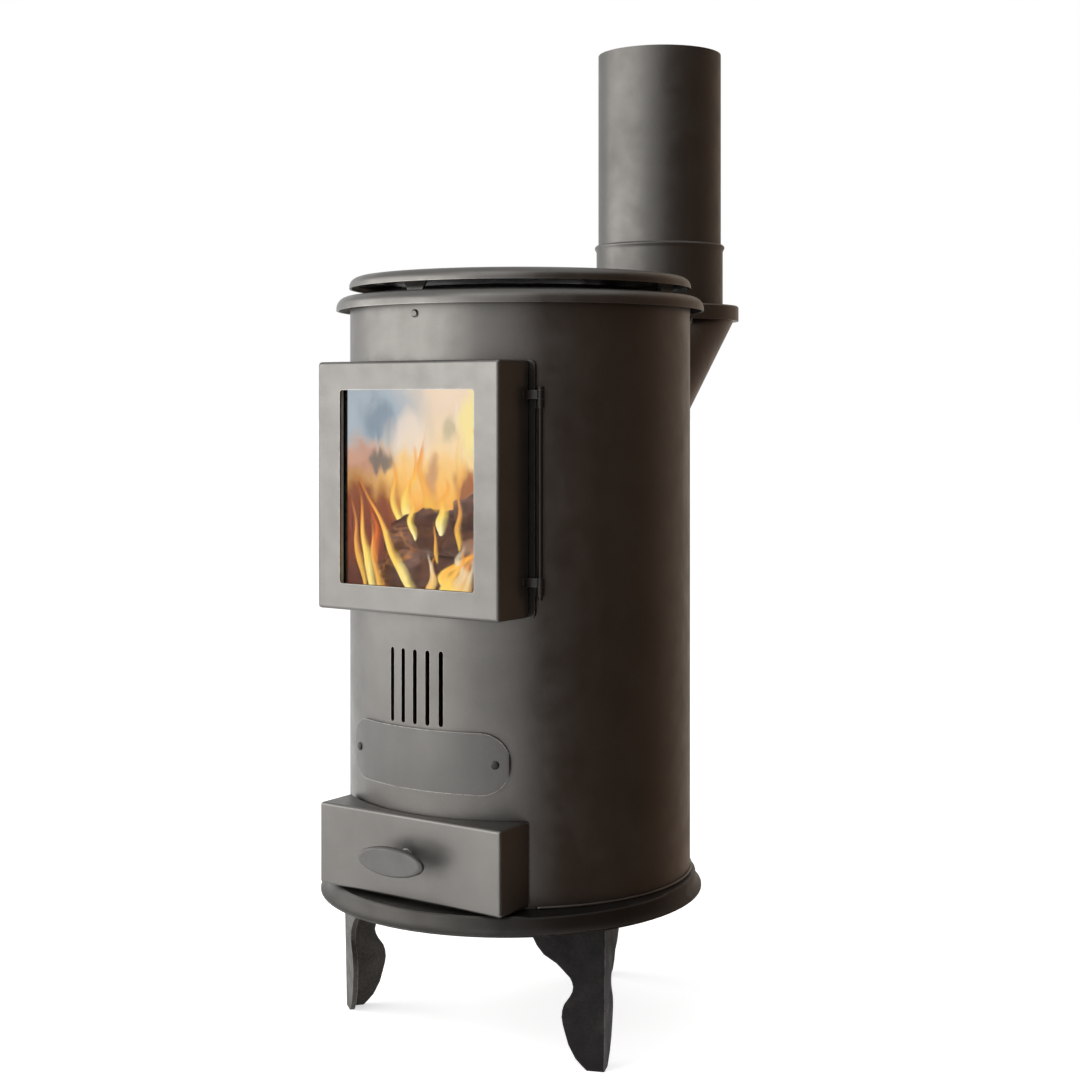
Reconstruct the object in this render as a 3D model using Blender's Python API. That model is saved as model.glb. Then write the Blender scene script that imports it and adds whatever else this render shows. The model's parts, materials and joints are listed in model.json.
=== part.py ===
"""Small free-standing drum wood stove: welded drum, hinged window door, ash drawer, three cast legs.

Metres, +Z up. The pieces are drawn about the drum's axis, the door and the drawer face -Y and the feet
stand on Z = 0. Azimuths are turned about Z from the front, positive towards +X. At the end everything
is moved back along Y, so that the world origin is below the middle of the whole stove.
"""
import math

import bmesh
import bpy
from mathutils import Matrix, Vector

# General fits
SEAT_GAP = 0.0003
CUT_OVERRUN = 0.03
MERGE_DISTANCE = 0.00001
ROUND_STEPS = 96
FIT_STEPS = 24
SCREW_STEPS = 16
SHOULDER_STEPS = 6
CORNER_STEPS = 4
BEVEL_STEPS = 2
ROUND_BEVEL_PROFILE = 0.5

# Drum
DRUM_RADIUS = 0.185
DRUM_WALL = 0.003
DRUM_HEIGHT = 0.6129

# Base pan
LEG_HEIGHT = 0.147
BASE_HEIGHT = 0.018
BASE_SHEET = 0.003
BASE_MARGIN = 0.010
BASE_FRONT_REACH = 0.030
BASE_LIP_FLARE = 0.0063
BASE_LIP_HEIGHT = 0.007
BASE_SHOULDER = 0.003

# Cast legs: widths of a flange at shares of the leg's height, foot first
LEG_WALL = 0.0055
LEG_INSET = 0.0139
LEG_LEAN = 0.003
LEG_FLANGE_WIDTH = 0.094
LEG_PAD_THICKNESS = 0.006
LEG_PAD_FILLET = 0.007
LEG_SHAPE_SHARES = (
    (0.000, 0.190), (0.027, 0.238), (0.075, 0.314), (0.163, 0.391), (0.238, 0.428), (0.300, 0.456),
    (0.347, 0.469), (0.395, 0.463), (0.435, 0.443), (0.490, 0.382), (0.525, 0.355), (0.558, 0.346),
    (0.590, 0.358), (0.619, 0.382), (0.673, 0.469), (0.707, 0.526), (0.762, 0.669), (0.820, 0.745),
    (0.895, 0.809), (1.000, 0.880),
)
LEG_AZIMUTHS_DEGREES = {"left": -63.0, "right": 60.5, "rear": 180.0}
LEG_FACING_DEGREES = {"left": -84.0, "right": 66.0, "rear": 180.0}
LEG_BOLT_RADIUS = 0.004
LEG_BOLT_HOLE_CLEARANCE = 0.0004
LEG_BOLT_HEAD_RADIUS = 0.0075
LEG_BOLT_HEAD_HEIGHT = 0.005
LEG_SPOT_FACE_CLEARANCE = 0.0015
LEG_NUT_HEIGHT = 0.0065
LEG_BOLT_TAIL = 0.002
LEG_BOLT_INSET = 0.040

# Top cap with rolled lip and spigot
CAP_SHEET = 0.0025
CAP_LIP_RADIUS = 0.200
CAP_LIP_DROP = 0.0150
CAP_FLAT_RADIUS = 0.187
CAP_LAND_WIDTH = 0.006
CAP_CROWN_RUN = 0.039
CAP_CROWN_RISE = 0.007
SPIGOT_DEPTH = 0.033
SPIGOT_WALL = 0.0025
CAP_RIVET_DROP = 0.0212
CAP_RIVET_COUNT = 3
RIVET_RADIUS = 0.002
RIVET_HEAD_RADIUS = 0.0042
RIVET_HEAD_HEIGHT = 0.002
RIVET_CLEARANCE = 0.0004
RIVET_DOME_SHARES = ((1.0, 0.25), (0.7, 0.8))

# Raised top disc and its bent tabs
DISC_RADIUS = 0.186
DISC_AIR_GAP = 0.009
DISC_HEIGHT = 0.0125
DISC_SHOULDER = 0.012
DISC_SHEET = 0.0025
TAB_COUNT = 4
TAB_TOP_WIDTH = 0.029
TAB_BOTTOM_WIDTH = 0.019
TAB_ROOT = 0.003

# Door: the panel's borders are measured from the window's edges
DOOR_STILE_WIDTH = 0.0299
DOOR_TOP_RAIL = 0.029
DOOR_BOTTOM_RAIL = 0.0272
DOOR_FRONT_STANDOFF = 0.016
DOOR_SIDE_DEPTH = 0.050
DOOR_SHEET = 0.0025
DOOR_EDGE_RADIUS = 0.003
SADDLE_CLEARANCE = 0.0035
DOOR_NECK_CLEARANCE = 0.0045
NECK_WALL = 0.003
NECK_BACK_DEPTH = 0.047
NECK_STANDOFF = 0.0045
WINDOW_WIDTH = 0.1716
WINDOW_HEIGHT = 0.1988
WINDOW_CORNER_RADIUS = 0.003
GLASS_LAP = 0.0067
GLASS_THICKNESS = 0.004
GASKET_THICKNESS = 0.0042
RETAINER_WIDTH = 0.013
RETAINER_THICKNESS = 0.002
RETAINER_LAP = 0.001
STUD_RADIUS = 0.0015
STUD_HEAD_RADIUS = 0.003
STUD_HEAD_HEIGHT = 0.002
STUD_MARGIN = 0.0045
STUD_FROM_CORNER = 0.012
ROPE_WIDTH = 0.008
ROPE_CORNER_RADIUS = 0.012
ROPE_SIDES = 8

# Hinge
HINGE_OFFSET = 0.0118
HINGE_SETBACK = 0.004
ROD_RADIUS = 0.0026
ROD_CLEARANCE = 0.0003
BARREL_WALL = 0.0013
KNUCKLE_HEIGHT = 0.0085
KNUCKLE_GAP = 0.0005
KNUCKLE_MARGIN = 0.0385
KNUCKLE_LOW_MARGIN = 0.0310
ROD_END = 0.0045
ROD_HEAD_RADIUS = 0.004
ROD_HEAD_HEIGHT = 0.003
LEAF_THICKNESS = 0.0025
LEAF_LENGTH = 0.012
SIDE_PLATE_THICKNESS = 0.003
SIDE_PLATE_GAP = 0.0015
SIDE_PLATE_REACH = 0.0071
SIDE_PLATE_CORNER = 0.006

# Latch on the far side of the door
LATCH_RISE_SHARE = 0.53333
LATCH_PIVOT_SETBACK = 0.036
LATCH_THROW_DEGREES = 26.0
LATCH_THICKNESS = 0.004
LATCH_SPACER_RADIUS = 0.0045
LATCH_PIVOT_RADIUS = 0.0027
LATCH_HEAD_RADIUS = 0.0055
LATCH_HEAD_HEIGHT = 0.0022
LATCH_EYE_RADIUS = 0.007
LATCH_HEEL_SHARE = 0.9
LATCH_ARM_HALF_WIDTH = 0.0048
LATCH_ARM_TOP = 0.003
LATCH_HOOK_TIP = 0.0035
LATCH_GRIP_DROP = 0.045
LATCH_KNOB_RADIUS = 0.0065
LATCH_KNOB_LENGTH = 0.0127
LATCH_KNOB_EDGE = 0.0015
KEEPER_RADIUS = 0.0025
KEEPER_CLEARANCE = 0.0012
KEEPER_LENGTH = 0.0059
KEEPER_HEAD_RADIUS = 0.0035
KEEPER_HEAD_HEIGHT = 0.0013

# Ash drawer
DRAWER_WIDTH = 0.2308
DRAWER_HEIGHT = 0.0843
DRAWER_RISE = 0.0027
DRAWER_FRONT_STANDOFF = 0.013
DRAWER_SIDE_DEPTH = 0.050
DRAWER_SHEET = 0.0025
COLLAR_CLEARANCE = 0.003
COLLAR_WALL = 0.003
COLLAR_BACK_DEPTH = 0.055
COLLAR_STANDOFF = 0.005
TRAY_CLEARANCE = 0.0015
TRAY_BOTTOM_CLEARANCE = 0.001
TRAY_TOP_CLEARANCE = 0.005
TRAY_SHEET = 0.0015
TRAY_LENGTH = 0.305
RUNNER_SHEET = 0.002
RUNNER_SHELF = 0.010
RUNNER_HEIGHT = 0.025
RUNNER_LENGTH = 0.235
RUNNER_CLEARANCE = 0.001
KNOB_WIDTH = 0.082
KNOB_HEIGHT = 0.029
KNOB_THICKNESS = 0.009
KNOB_REACH = 0.030
KNOB_LIFT = 0.0016
KNOB_STEPS = 32
KNOB_ROUNDING_SHARES = ((0.0, 0.86), (0.12, 0.955), (0.32, 1.0), (0.68, 1.0), (0.88, 0.955), (1.0, 0.86))
STEM_RADIUS = 0.0052
STEM_FLARE = 0.003
KNOB_SCREW_RADIUS = 0.0024
KNOB_SCREW_DEPTH = 0.014
KNOB_SCREW_HEAD_RADIUS = 0.0045
KNOB_SCREW_HEAD_HEIGHT = 0.003

# Name plate, left bare, and the air slots above it
PLATE_LENGTH = 0.2092
PLATE_HEIGHT = 0.062
PLATE_THICKNESS = 0.003
PLATE_END_STEPS = 8
PLATE_STRAIGHT_STEPS = 12
PLATE_SCREW_INSET = 0.0158
SLOT_COUNT = 5
SLOT_WIDTH = 0.005
SLOT_HEIGHT = 0.076
SLOT_PITCH = 0.0155

# Rows on the drum's front: shares of the height that drawer, plate, slots and door leave free
GAP_BELOW_PLATE_SHARE = 0.2332
GAP_BELOW_SLOTS_SHARE = 0.0280
GAP_BELOW_DOOR_SHARE = 0.3358

# Firebox lining and grate
GRATE_SILL = 0.021
GRATE_THICKNESS = 0.010
GRATE_RADIUS = 0.1785
GRATE_SLOT_COUNT = 9
GRATE_SLOT_WIDTH = 0.012
GRATE_BAR_WIDTH = 0.014
GRATE_RIM_WIDTH = 0.026
LEDGE_WIDTH = 0.0137
LEDGE_DEPTH = 0.0097
LEDGE_WALL = 0.003
BRICK_THICKNESS = 0.022
BRICK_HEIGHT = 0.120
BRICK_COUNT = 5
BRICK_START_DEGREES = 50.0
BRICK_JOINT = 0.0015
BRICK_STEPS = 8
BAFFLE_THICKNESS = 0.005
BAFFLE_FOOT_SETBACK = 0.032
BAFFLE_LEAN_DEGREES = 25.0
BAFFLE_HEADROOM = 0.0216

# Flue outlet, lid, collar and pipe
PIPE_OFFSET = 0.298
PIPE_RADIUS = 0.075
PIPE_WALL = 0.002
PIPE_LENGTH = 0.250
PIPE_INSERT = 0.017
COLLAR_HEIGHT = 0.0744
FLUE_COLLAR_WALL = 0.002
BEAD_HEIGHT = 0.006
BEAD_DEPTH = 0.002
FLUE_LID_RADIUS = 0.0965
FLUE_LID_HEIGHT = 0.0183
FLUE_LID_SHEET = 0.003
FLUE_LID_SEAT = 0.0115
FLUE_LID_DROP = 0.0118
FLUE_TUBE_RADIUS = 0.090
FLUE_TUBE_WALL = 0.0025
FLUE_TUBE_DEPTH = 0.250

# Levels and planes that follow from the sizes above
BASE_TOP = LEG_HEIGHT + BASE_HEIGHT
DRUM_BOTTOM = BASE_TOP + SEAT_GAP
DRUM_TOP = DRUM_BOTTOM + DRUM_HEIGHT
DRUM_BORE = DRUM_RADIUS - DRUM_WALL
CAP_UNDERSIDE = DRUM_TOP + SEAT_GAP
CAP_TOP = CAP_UNDERSIDE + CAP_SHEET
CAP_RIVET_Z = DRUM_TOP - CAP_RIVET_DROP
SPIGOT_BOTTOM = CAP_UNDERSIDE - SPIGOT_DEPTH
DOOR_WIDTH = WINDOW_WIDTH + 2 * DOOR_STILE_WIDTH
DOOR_HEIGHT = DOOR_BOTTOM_RAIL + WINDOW_HEIGHT + DOOR_TOP_RAIL
DRAWER_BOTTOM = BASE_TOP + DRAWER_RISE
DRAWER_TOP = DRAWER_BOTTOM + DRAWER_HEIGHT
DOOR_TOP_LIMIT = SPIGOT_BOTTOM - SEAT_GAP + DOOR_NECK_CLEARANCE + DOOR_SHEET
SPARE_HEIGHT = DOOR_TOP_LIMIT - DRAWER_TOP - PLATE_HEIGHT - SLOT_HEIGHT - DOOR_HEIGHT
PLATE_BOTTOM = DRAWER_TOP + GAP_BELOW_PLATE_SHARE * SPARE_HEIGHT
PLATE_TOP = PLATE_BOTTOM + PLATE_HEIGHT
PLATE_Z = PLATE_BOTTOM + PLATE_HEIGHT / 2
SLOT_BOTTOM = PLATE_TOP + GAP_BELOW_SLOTS_SHARE * SPARE_HEIGHT
SLOT_TOP = SLOT_BOTTOM + SLOT_HEIGHT
DOOR_BOTTOM = SLOT_TOP + GAP_BELOW_DOOR_SHARE * SPARE_HEIGHT
DOOR_TOP = DOOR_BOTTOM + DOOR_HEIGHT
DOOR_FRONT = -DRUM_RADIUS - DOOR_FRONT_STANDOFF
DOOR_BACK = DOOR_FRONT + DOOR_SIDE_DEPTH
DOOR_INNER_FACE = DOOR_FRONT + DOOR_SHEET
DOOR_HALF = DOOR_WIDTH / 2
NECK_FRONT = -DRUM_RADIUS - NECK_STANDOFF
NECK_HALF = DOOR_HALF - DOOR_SHEET - DOOR_NECK_CLEARANCE
NECK_BOTTOM = DOOR_BOTTOM + DOOR_SHEET + DOOR_NECK_CLEARANCE
NECK_TOP = DOOR_TOP - DOOR_SHEET - DOOR_NECK_CLEARANCE
WINDOW_BOTTOM = DOOR_BOTTOM + DOOR_BOTTOM_RAIL
WINDOW_TOP = WINDOW_BOTTOM + WINDOW_HEIGHT
WINDOW_MIDDLE = (WINDOW_BOTTOM + WINDOW_TOP) / 2
HINGE_X = DOOR_HALF + HINGE_OFFSET
HINGE_Y = DOOR_BACK + HINGE_SETBACK
BARREL_RADIUS = ROD_RADIUS + ROD_CLEARANCE + BARREL_WALL
KNUCKLE_LEVELS = {"upper": DOOR_TOP - KNUCKLE_MARGIN, "lower": DOOR_BOTTOM + KNUCKLE_LOW_MARGIN}
SIDE_PLATE_FRONT = DOOR_BACK + SIDE_PLATE_GAP
SIDE_PLATE_BACK = SIDE_PLATE_FRONT + SIDE_PLATE_THICKNESS
SIDE_PLATE_EDGE = DOOR_HALF + SIDE_PLATE_REACH
LATCH_Y = DOOR_FRONT + LATCH_PIVOT_SETBACK
LATCH_Z = DOOR_BOTTOM + LATCH_RISE_SHARE * DOOR_HEIGHT
LATCH_INNER_FACE = -SIDE_PLATE_EDGE - 2 * SEAT_GAP
LATCH_OUTER_FACE = LATCH_INNER_FACE - LATCH_THICKNESS
KEEPER_Y = (SIDE_PLATE_FRONT + SIDE_PLATE_BACK) / 2
DRAWER_FRONT = -DRUM_RADIUS - DRAWER_FRONT_STANDOFF
DRAWER_INNER_FACE = DRAWER_FRONT + DRAWER_SHEET
COLLAR_HALF = DRAWER_WIDTH / 2 - DRAWER_SHEET - COLLAR_CLEARANCE
COLLAR_BOTTOM = DRAWER_BOTTOM + DRAWER_SHEET + COLLAR_CLEARANCE
COLLAR_TOP = DRAWER_TOP - DRAWER_SHEET - COLLAR_CLEARANCE
COLLAR_FRONT = -DRUM_RADIUS - COLLAR_STANDOFF
TRAY_HALF = COLLAR_HALF - COLLAR_WALL - TRAY_CLEARANCE
TRAY_BOTTOM = COLLAR_BOTTOM + COLLAR_WALL + TRAY_BOTTOM_CLEARANCE
TRAY_TOP = COLLAR_TOP - COLLAR_WALL - TRAY_TOP_CLEARANCE
TRAY_FRONT = DRAWER_INNER_FACE + SEAT_GAP
KNOB_Z = (DRAWER_BOTTOM + DRAWER_TOP) / 2 + KNOB_LIFT
GRATE_TOP = NECK_BOTTOM - GRATE_SILL
GRATE_BOTTOM = GRATE_TOP - GRATE_THICKNESS
BRICK_BOTTOM = GRATE_TOP + SEAT_GAP
BRICK_TOP = BRICK_BOTTOM + BRICK_HEIGHT
FLUE_LID_BOTTOM = DRUM_TOP - FLUE_LID_DROP
FLUE_LID_TOP = FLUE_LID_BOTTOM + FLUE_LID_HEIGHT
FLUE_TUBE_TOP = FLUE_LID_BOTTOM - SEAT_GAP
FLUE_COLLAR_BOTTOM = FLUE_LID_TOP + SEAT_GAP
FLUE_COLLAR_TOP = FLUE_COLLAR_BOTTOM + COLLAR_HEIGHT
FLUE_COLLAR_BORE = PIPE_RADIUS + SEAT_GAP
PIPE_BOTTOM = FLUE_COLLAR_TOP - PIPE_INSERT
FRONT_REACH = KNOB_REACH - DRAWER_FRONT
REAR_REACH = PIPE_OFFSET + FLUE_LID_RADIUS
FRAME_SHIFT = (FRONT_REACH - REAR_REACH) / 2

# Finishes: base colour, metallic, roughness, emission strength
FINISHES = {
    "stove_paint": ((0.115, 0.108, 0.100), 0.35, 0.55),
    "cast_iron": ((0.045, 0.044, 0.043), 0.40, 0.62),
    "plain_steel": ((0.32, 0.31, 0.30), 1.00, 0.38),
    "fire_brick": ((0.55, 0.42, 0.28), 0.00, 0.90),
    "glass": ((0.85, 0.88, 0.88), 0.00, 0.05),
    "seal_fibre": ((0.30, 0.29, 0.27), 0.00, 0.95),
    "tray_steel": ((0.20, 0.20, 0.20), 0.80, 0.45),
}


def clear_scene():
    for item in list(bpy.data.objects):
        bpy.data.objects.remove(item)


def finish(name):
    """The named material, made once."""
    if name in bpy.data.materials:
        return bpy.data.materials[name]
    colour, metallic, roughness = FINISHES[name]
    material = bpy.data.materials.new(name)
    material.use_nodes = True
    shader = material.node_tree.nodes["Principled BSDF"]
    shader.inputs["Base Color"].default_value = (*colour, 1.0)
    shader.inputs["Metallic"].default_value = metallic
    shader.inputs["Roughness"].default_value = roughness
    material.diffuse_color = (*colour, 1.0)
    return material


def place(name, bm, material=None, smooth_degrees=None):
    """Turn a bmesh into an object, outward facing, at the world origin."""
    bmesh.ops.remove_doubles(bm, verts=bm.verts, dist=MERGE_DISTANCE)
    bmesh.ops.recalc_face_normals(bm, faces=bm.faces)
    mesh = bpy.data.meshes.new(name)
    bm.to_mesh(mesh)
    bm.free()
    item = bpy.data.objects.new(name, mesh)
    bpy.context.scene.collection.objects.link(item)
    if material:
        mesh.materials.append(finish(material))
    if smooth_degrees:
        mesh.shade_smooth()
        mesh.set_sharp_from_angle(angle=math.radians(smooth_degrees))
    return item


def mark_cutter(item):
    item.hide_render = True
    item.display_type = "WIRE"
    return item


def combine(target, tool, operation):
    modifier = target.modifiers.new(operation.lower(), "BOOLEAN")
    modifier.operation = operation
    modifier.solver = "EXACT"
    modifier.object = mark_cutter(tool)
    return target


def cut(target, tool):
    return combine(target, tool, "DIFFERENCE")


def weld(target, tool):
    return combine(target, tool, "UNION")


def polar(radius, degrees, height):
    """A point at an azimuth from the front."""
    angle = math.radians(degrees)
    return Vector((radius * math.sin(angle), -radius * math.cos(angle), height))


def box(name, low, high, material=None):
    bm = bmesh.new()
    bmesh.ops.create_cube(bm, size=1.0)
    size = Vector(high) - Vector(low)
    middle = (Vector(high) + Vector(low)) / 2
    bmesh.ops.transform(bm, matrix=Matrix.Translation(middle) @ Matrix.Diagonal((*size, 1.0)), verts=bm.verts)
    return place(name, bm, material)


def edge_rounded_box(name, low, high, radius, keep_back, material):
    """A box with rounded edges; the edges of its back face stay sharp when keep_back is set."""
    bm = bmesh.new()
    bmesh.ops.create_cube(bm, size=1.0)
    size = Vector(high) - Vector(low)
    middle = (Vector(high) + Vector(low)) / 2
    bmesh.ops.transform(bm, matrix=Matrix.Translation(middle) @ Matrix.Diagonal((*size, 1.0)), verts=bm.verts)
    rounded = []
    for edge in bm.edges:
        on_back = all(vert.co.y > middle.y for vert in edge.verts)
        if not (keep_back and on_back):
            rounded.append(edge)
    bmesh.ops.bevel(bm, geom=rounded, offset=radius, segments=BEVEL_STEPS,
                    profile=ROUND_BEVEL_PROFILE, affect="EDGES")
    return place(name, bm, material, 50)


def revolve(name, profile, steps, material=None, smooth_degrees=35, axis_matrix=None, closed=True):
    """Spin a profile of (radius, height) points once about the Z axis, then move it."""
    bm = bmesh.new()
    verts = [bm.verts.new((radius, 0, height)) for radius, height in profile]
    edges = [bm.edges.new(pair) for pair in zip(verts, verts[1:])]
    if closed:
        edges.append(bm.edges.new((verts[-1], verts[0])))
    bmesh.ops.spin(bm, geom=verts + edges, cent=(0, 0, 0), axis=(0, 0, 1), dvec=(0, 0, 0),
                   angle=math.tau, steps=steps, use_merge=True)
    if axis_matrix:
        bmesh.ops.transform(bm, matrix=axis_matrix, verts=bm.verts)
    return place(name, bm, material, smooth_degrees)


def disc_profile(parts):
    """Closed outline, axis to axis, of stacked cylinders given as (radius, bottom, top)."""
    points = [(0, parts[0][1])]
    for radius, bottom, top in parts:
        points.append((radius, bottom))
        points.append((radius, top))
    points.append((0, parts[-1][2]))
    return points


def turned(name, parts, steps, material=None, axis_matrix=None):
    """A solid turned piece of stacked cylinders."""
    return revolve(name, disc_profile(parts), steps, material, axis_matrix=axis_matrix, closed=False)


def tube(name, bore, radius, bottom, top, steps, material=None, axis_matrix=None):
    profile = [(bore, bottom), (radius, bottom), (radius, top), (bore, top)]
    return revolve(name, profile, steps, material, axis_matrix=axis_matrix)


def prism(name, outline, start, end, to_world, material=None, smooth_degrees=None):
    """Extrude a flat outline of (u, v) points from start to end; to_world maps (u, v, w)."""
    bm = bmesh.new()
    lower = [bm.verts.new(to_world(u, v, start)) for u, v in outline]
    face = bm.faces.new(lower)
    step = Vector(to_world(0, 0, end)) - Vector(to_world(0, 0, start))
    grown = bmesh.ops.extrude_face_region(bm, geom=[face])
    moved = [part for part in grown["geom"] if isinstance(part, bmesh.types.BMVert)]
    bmesh.ops.translate(bm, vec=step, verts=moved)
    return place(name, bm, material, smooth_degrees)


def loft(name, rings, material=None, smooth_degrees=35, closed=False):
    """Skin rings of equal point counts; the ends are capped unless the loft closes on itself."""
    bm = bmesh.new()
    rows = [[bm.verts.new(point) for point in ring] for ring in rings]
    pairs = list(zip(rows, rows[1:]))
    if closed:
        pairs.append((rows[-1], rows[0]))
    for low, high in pairs:
        for index in range(len(low)):
            after = (index + 1) % len(low)
            bm.faces.new((low[index], low[after], high[after], high[index]))
    if not closed:
        bm.faces.new(rows[0])
        bm.faces.new(rows[-1])
    return place(name, bm, material, smooth_degrees)


def facing_front(u, v, w):
    """Outlines drawn on a plane that faces the front: u to the right, v up, w along Y."""
    return (u, w, v)


def rounded_rectangle(left, bottom, right, top, radius, steps=3):
    """Corner by corner outline of a rectangle with round corners."""
    points = []
    corners = ((right, top, 0), (left, top, 90), (left, bottom, 180), (right, bottom, 270))
    for x, y, turn in corners:
        centre_x = x - math.copysign(radius, x - (left + right) / 2)
        centre_y = y - math.copysign(radius, y - (bottom + top) / 2)
        for step in range(steps + 1):
            angle = math.radians(turn + 90 * step / steps)
            points.append((centre_x + radius * math.cos(angle), centre_y + radius * math.sin(angle)))
    return points


def arc(centre, radius, start_degrees, end_degrees, steps):
    points = []
    for step in range(steps + 1):
        angle = math.radians(start_degrees + (end_degrees - start_degrees) * step / steps)
        points.append((centre[0] + radius * math.cos(angle), centre[1] + radius * math.sin(angle)))
    return points


def along_radius(degrees, height):
    """Matrix that lays a turned piece's axis along an azimuth, outwards, at a height."""
    outward = polar(1, degrees, 0)
    turn = Vector((0, 0, 1)).rotation_difference(outward).to_matrix().to_4x4()
    return Matrix.Translation((0, 0, height)) @ turn


def along_axis(origin, direction):
    turn = Vector((0, 0, 1)).rotation_difference(Vector(direction)).to_matrix().to_4x4()
    return Matrix.Translation(origin) @ turn


def make_axis(name, location, parent=None):
    """Empty on a joint's axis; pieces that move with the joint are hung on it."""
    empty = bpy.data.objects.new(name, None)
    bpy.context.scene.collection.objects.link(empty)
    empty.location = Vector(location)
    if parent:
        empty.parent = parent
        empty.location = Vector(location) - parent_origin(parent)
    return empty


def parent_origin(item):
    origin = item.location.copy()
    if item.parent:
        origin = origin + parent_origin(item.parent)
    return origin


def hang(item, axis):
    """Give a piece its origin on the joint's axis and parent it there."""
    item.data.transform(Matrix.Translation(-parent_origin(axis)))
    item.parent = axis
    return item


def base_edge(degrees):
    """Radius of the base pan's edge: round behind, drawn forward under the drawer."""
    share = (1 + math.cos(math.radians(degrees))) / 2
    return DRUM_RADIUS + BASE_MARGIN + BASE_FRONT_REACH * share ** 2


def build_base_pan():
    """Pressed pan, open below, with a shouldered rim that flares to a lip."""
    flare = BASE_LIP_FLARE
    sheet = BASE_SHEET
    profile = (
        (-flare - BASE_SHOULDER, BASE_TOP),
        (-flare, BASE_TOP - BASE_SHOULDER),
        (-flare, LEG_HEIGHT + BASE_LIP_HEIGHT),
        (0, LEG_HEIGHT + BASE_LIP_HEIGHT / 4),
        (0, LEG_HEIGHT),
        (-sheet, LEG_HEIGHT),
        (-flare - sheet, LEG_HEIGHT + BASE_LIP_HEIGHT),
        (-flare - sheet, BASE_TOP - sheet - BASE_SHOULDER / 2),
        (-flare - sheet - BASE_SHOULDER / 2, BASE_TOP - sheet),
    )
    rings = []
    for inset, height in profile:
        ring = []
        for step in range(ROUND_STEPS):
            degrees = 360 * step / ROUND_STEPS
            ring.append(polar(base_edge(degrees) + inset, degrees, height))
        rings.append(ring)
    pan = loft("base_pan", rings, "stove_paint")
    for side in LEG_AZIMUTHS_DEGREES:
        bore = LEG_BOLT_RADIUS + LEG_BOLT_HOLE_CLEARANCE
        spot = leg_bolt_spot(side)
        hole = turned("base_bolt_hole", [(bore, -CUT_OVERRUN, CUT_OVERRUN)], SCREW_STEPS,
                      axis_matrix=Matrix.Translation((spot.x, spot.y, BASE_TOP)))
        cut(pan, hole)


def leg_frame(side):
    """Ridge radius at the top, outward ridge direction and the two flange directions."""
    degrees = LEG_AZIMUTHS_DEGREES[side]
    facing = LEG_FACING_DEGREES[side]
    ridge = base_edge(degrees) - LEG_INSET
    outward = polar(1, degrees, 0)
    first = polar(1, facing + 180 - 45, 0)
    second = polar(1, facing + 180 + 45, 0)
    return ridge, outward, first, second


def leg_bolt_spot(side):
    ridge, outward, first, second = leg_frame(side)
    return outward * ridge + (first + second).normalized() * LEG_BOLT_INSET


def build_leg(side):
    """Cast L-section leg: two scrolled flanges meet in a leaning ridge, with a bolting pad on top."""
    ridge, outward, first, second = leg_frame(side)
    top = BASE_TOP - BASE_SHEET - SEAT_GAP

    def section(height, width, pad):
        lean = LEG_LEAN * min(1, height / LEG_HEIGHT)
        corner = outward * (ridge - LEG_LEAN + lean) + Vector((0, 0, height))
        inner = corner + (first + second) * LEG_WALL
        tip_first = corner + first * width
        tip_second = corner + second * width
        if pad:
            inner = (tip_first + second * LEG_WALL + tip_second + first * LEG_WALL) / 2
        return [corner, tip_first, tip_first + second * LEG_WALL, inner,
                tip_second + first * LEG_WALL, tip_second]

    rings = []
    for height_share, width_share in LEG_SHAPE_SHARES:
        height = height_share * (top - LEG_PAD_THICKNESS - LEG_PAD_FILLET)
        rings.append(section(height, width_share * LEG_FLANGE_WIDTH, False))
    rings.append(section(top - LEG_PAD_THICKNESS, LEG_FLANGE_WIDTH, True))
    rings.append(section(top, LEG_FLANGE_WIDTH, True))
    leg = loft("leg_" + side, rings, "cast_iron", 30)

    spot = leg_bolt_spot(side)
    bore = LEG_BOLT_RADIUS + LEG_BOLT_HOLE_CLEARANCE
    at_spot = Matrix.Translation((spot.x, spot.y, 0))
    pad_bottom = top - LEG_PAD_THICKNESS
    spot_face = [(LEG_BOLT_HEAD_RADIUS + LEG_SPOT_FACE_CLEARANCE, pad_bottom - CUT_OVERRUN, pad_bottom),
                 (bore, pad_bottom, top + CUT_OVERRUN)]
    cut(leg, turned("leg_bolt_hole", spot_face, SCREW_STEPS, axis_matrix=at_spot))

    head_top = pad_bottom - SEAT_GAP
    nut_bottom = BASE_TOP + SEAT_GAP
    nut_top = nut_bottom + LEG_NUT_HEIGHT
    stack = [(LEG_BOLT_HEAD_RADIUS, head_top - LEG_BOLT_HEAD_HEIGHT, head_top),
             (LEG_BOLT_RADIUS, head_top, nut_top + LEG_BOLT_TAIL)]
    turned("leg_bolt_" + side, stack, SCREW_STEPS, "plain_steel", at_spot)
    tube("leg_nut_" + side, LEG_BOLT_RADIUS + SEAT_GAP, LEG_BOLT_HEAD_RADIUS, nut_bottom, nut_top,
         SCREW_STEPS, "plain_steel", at_spot)


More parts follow.
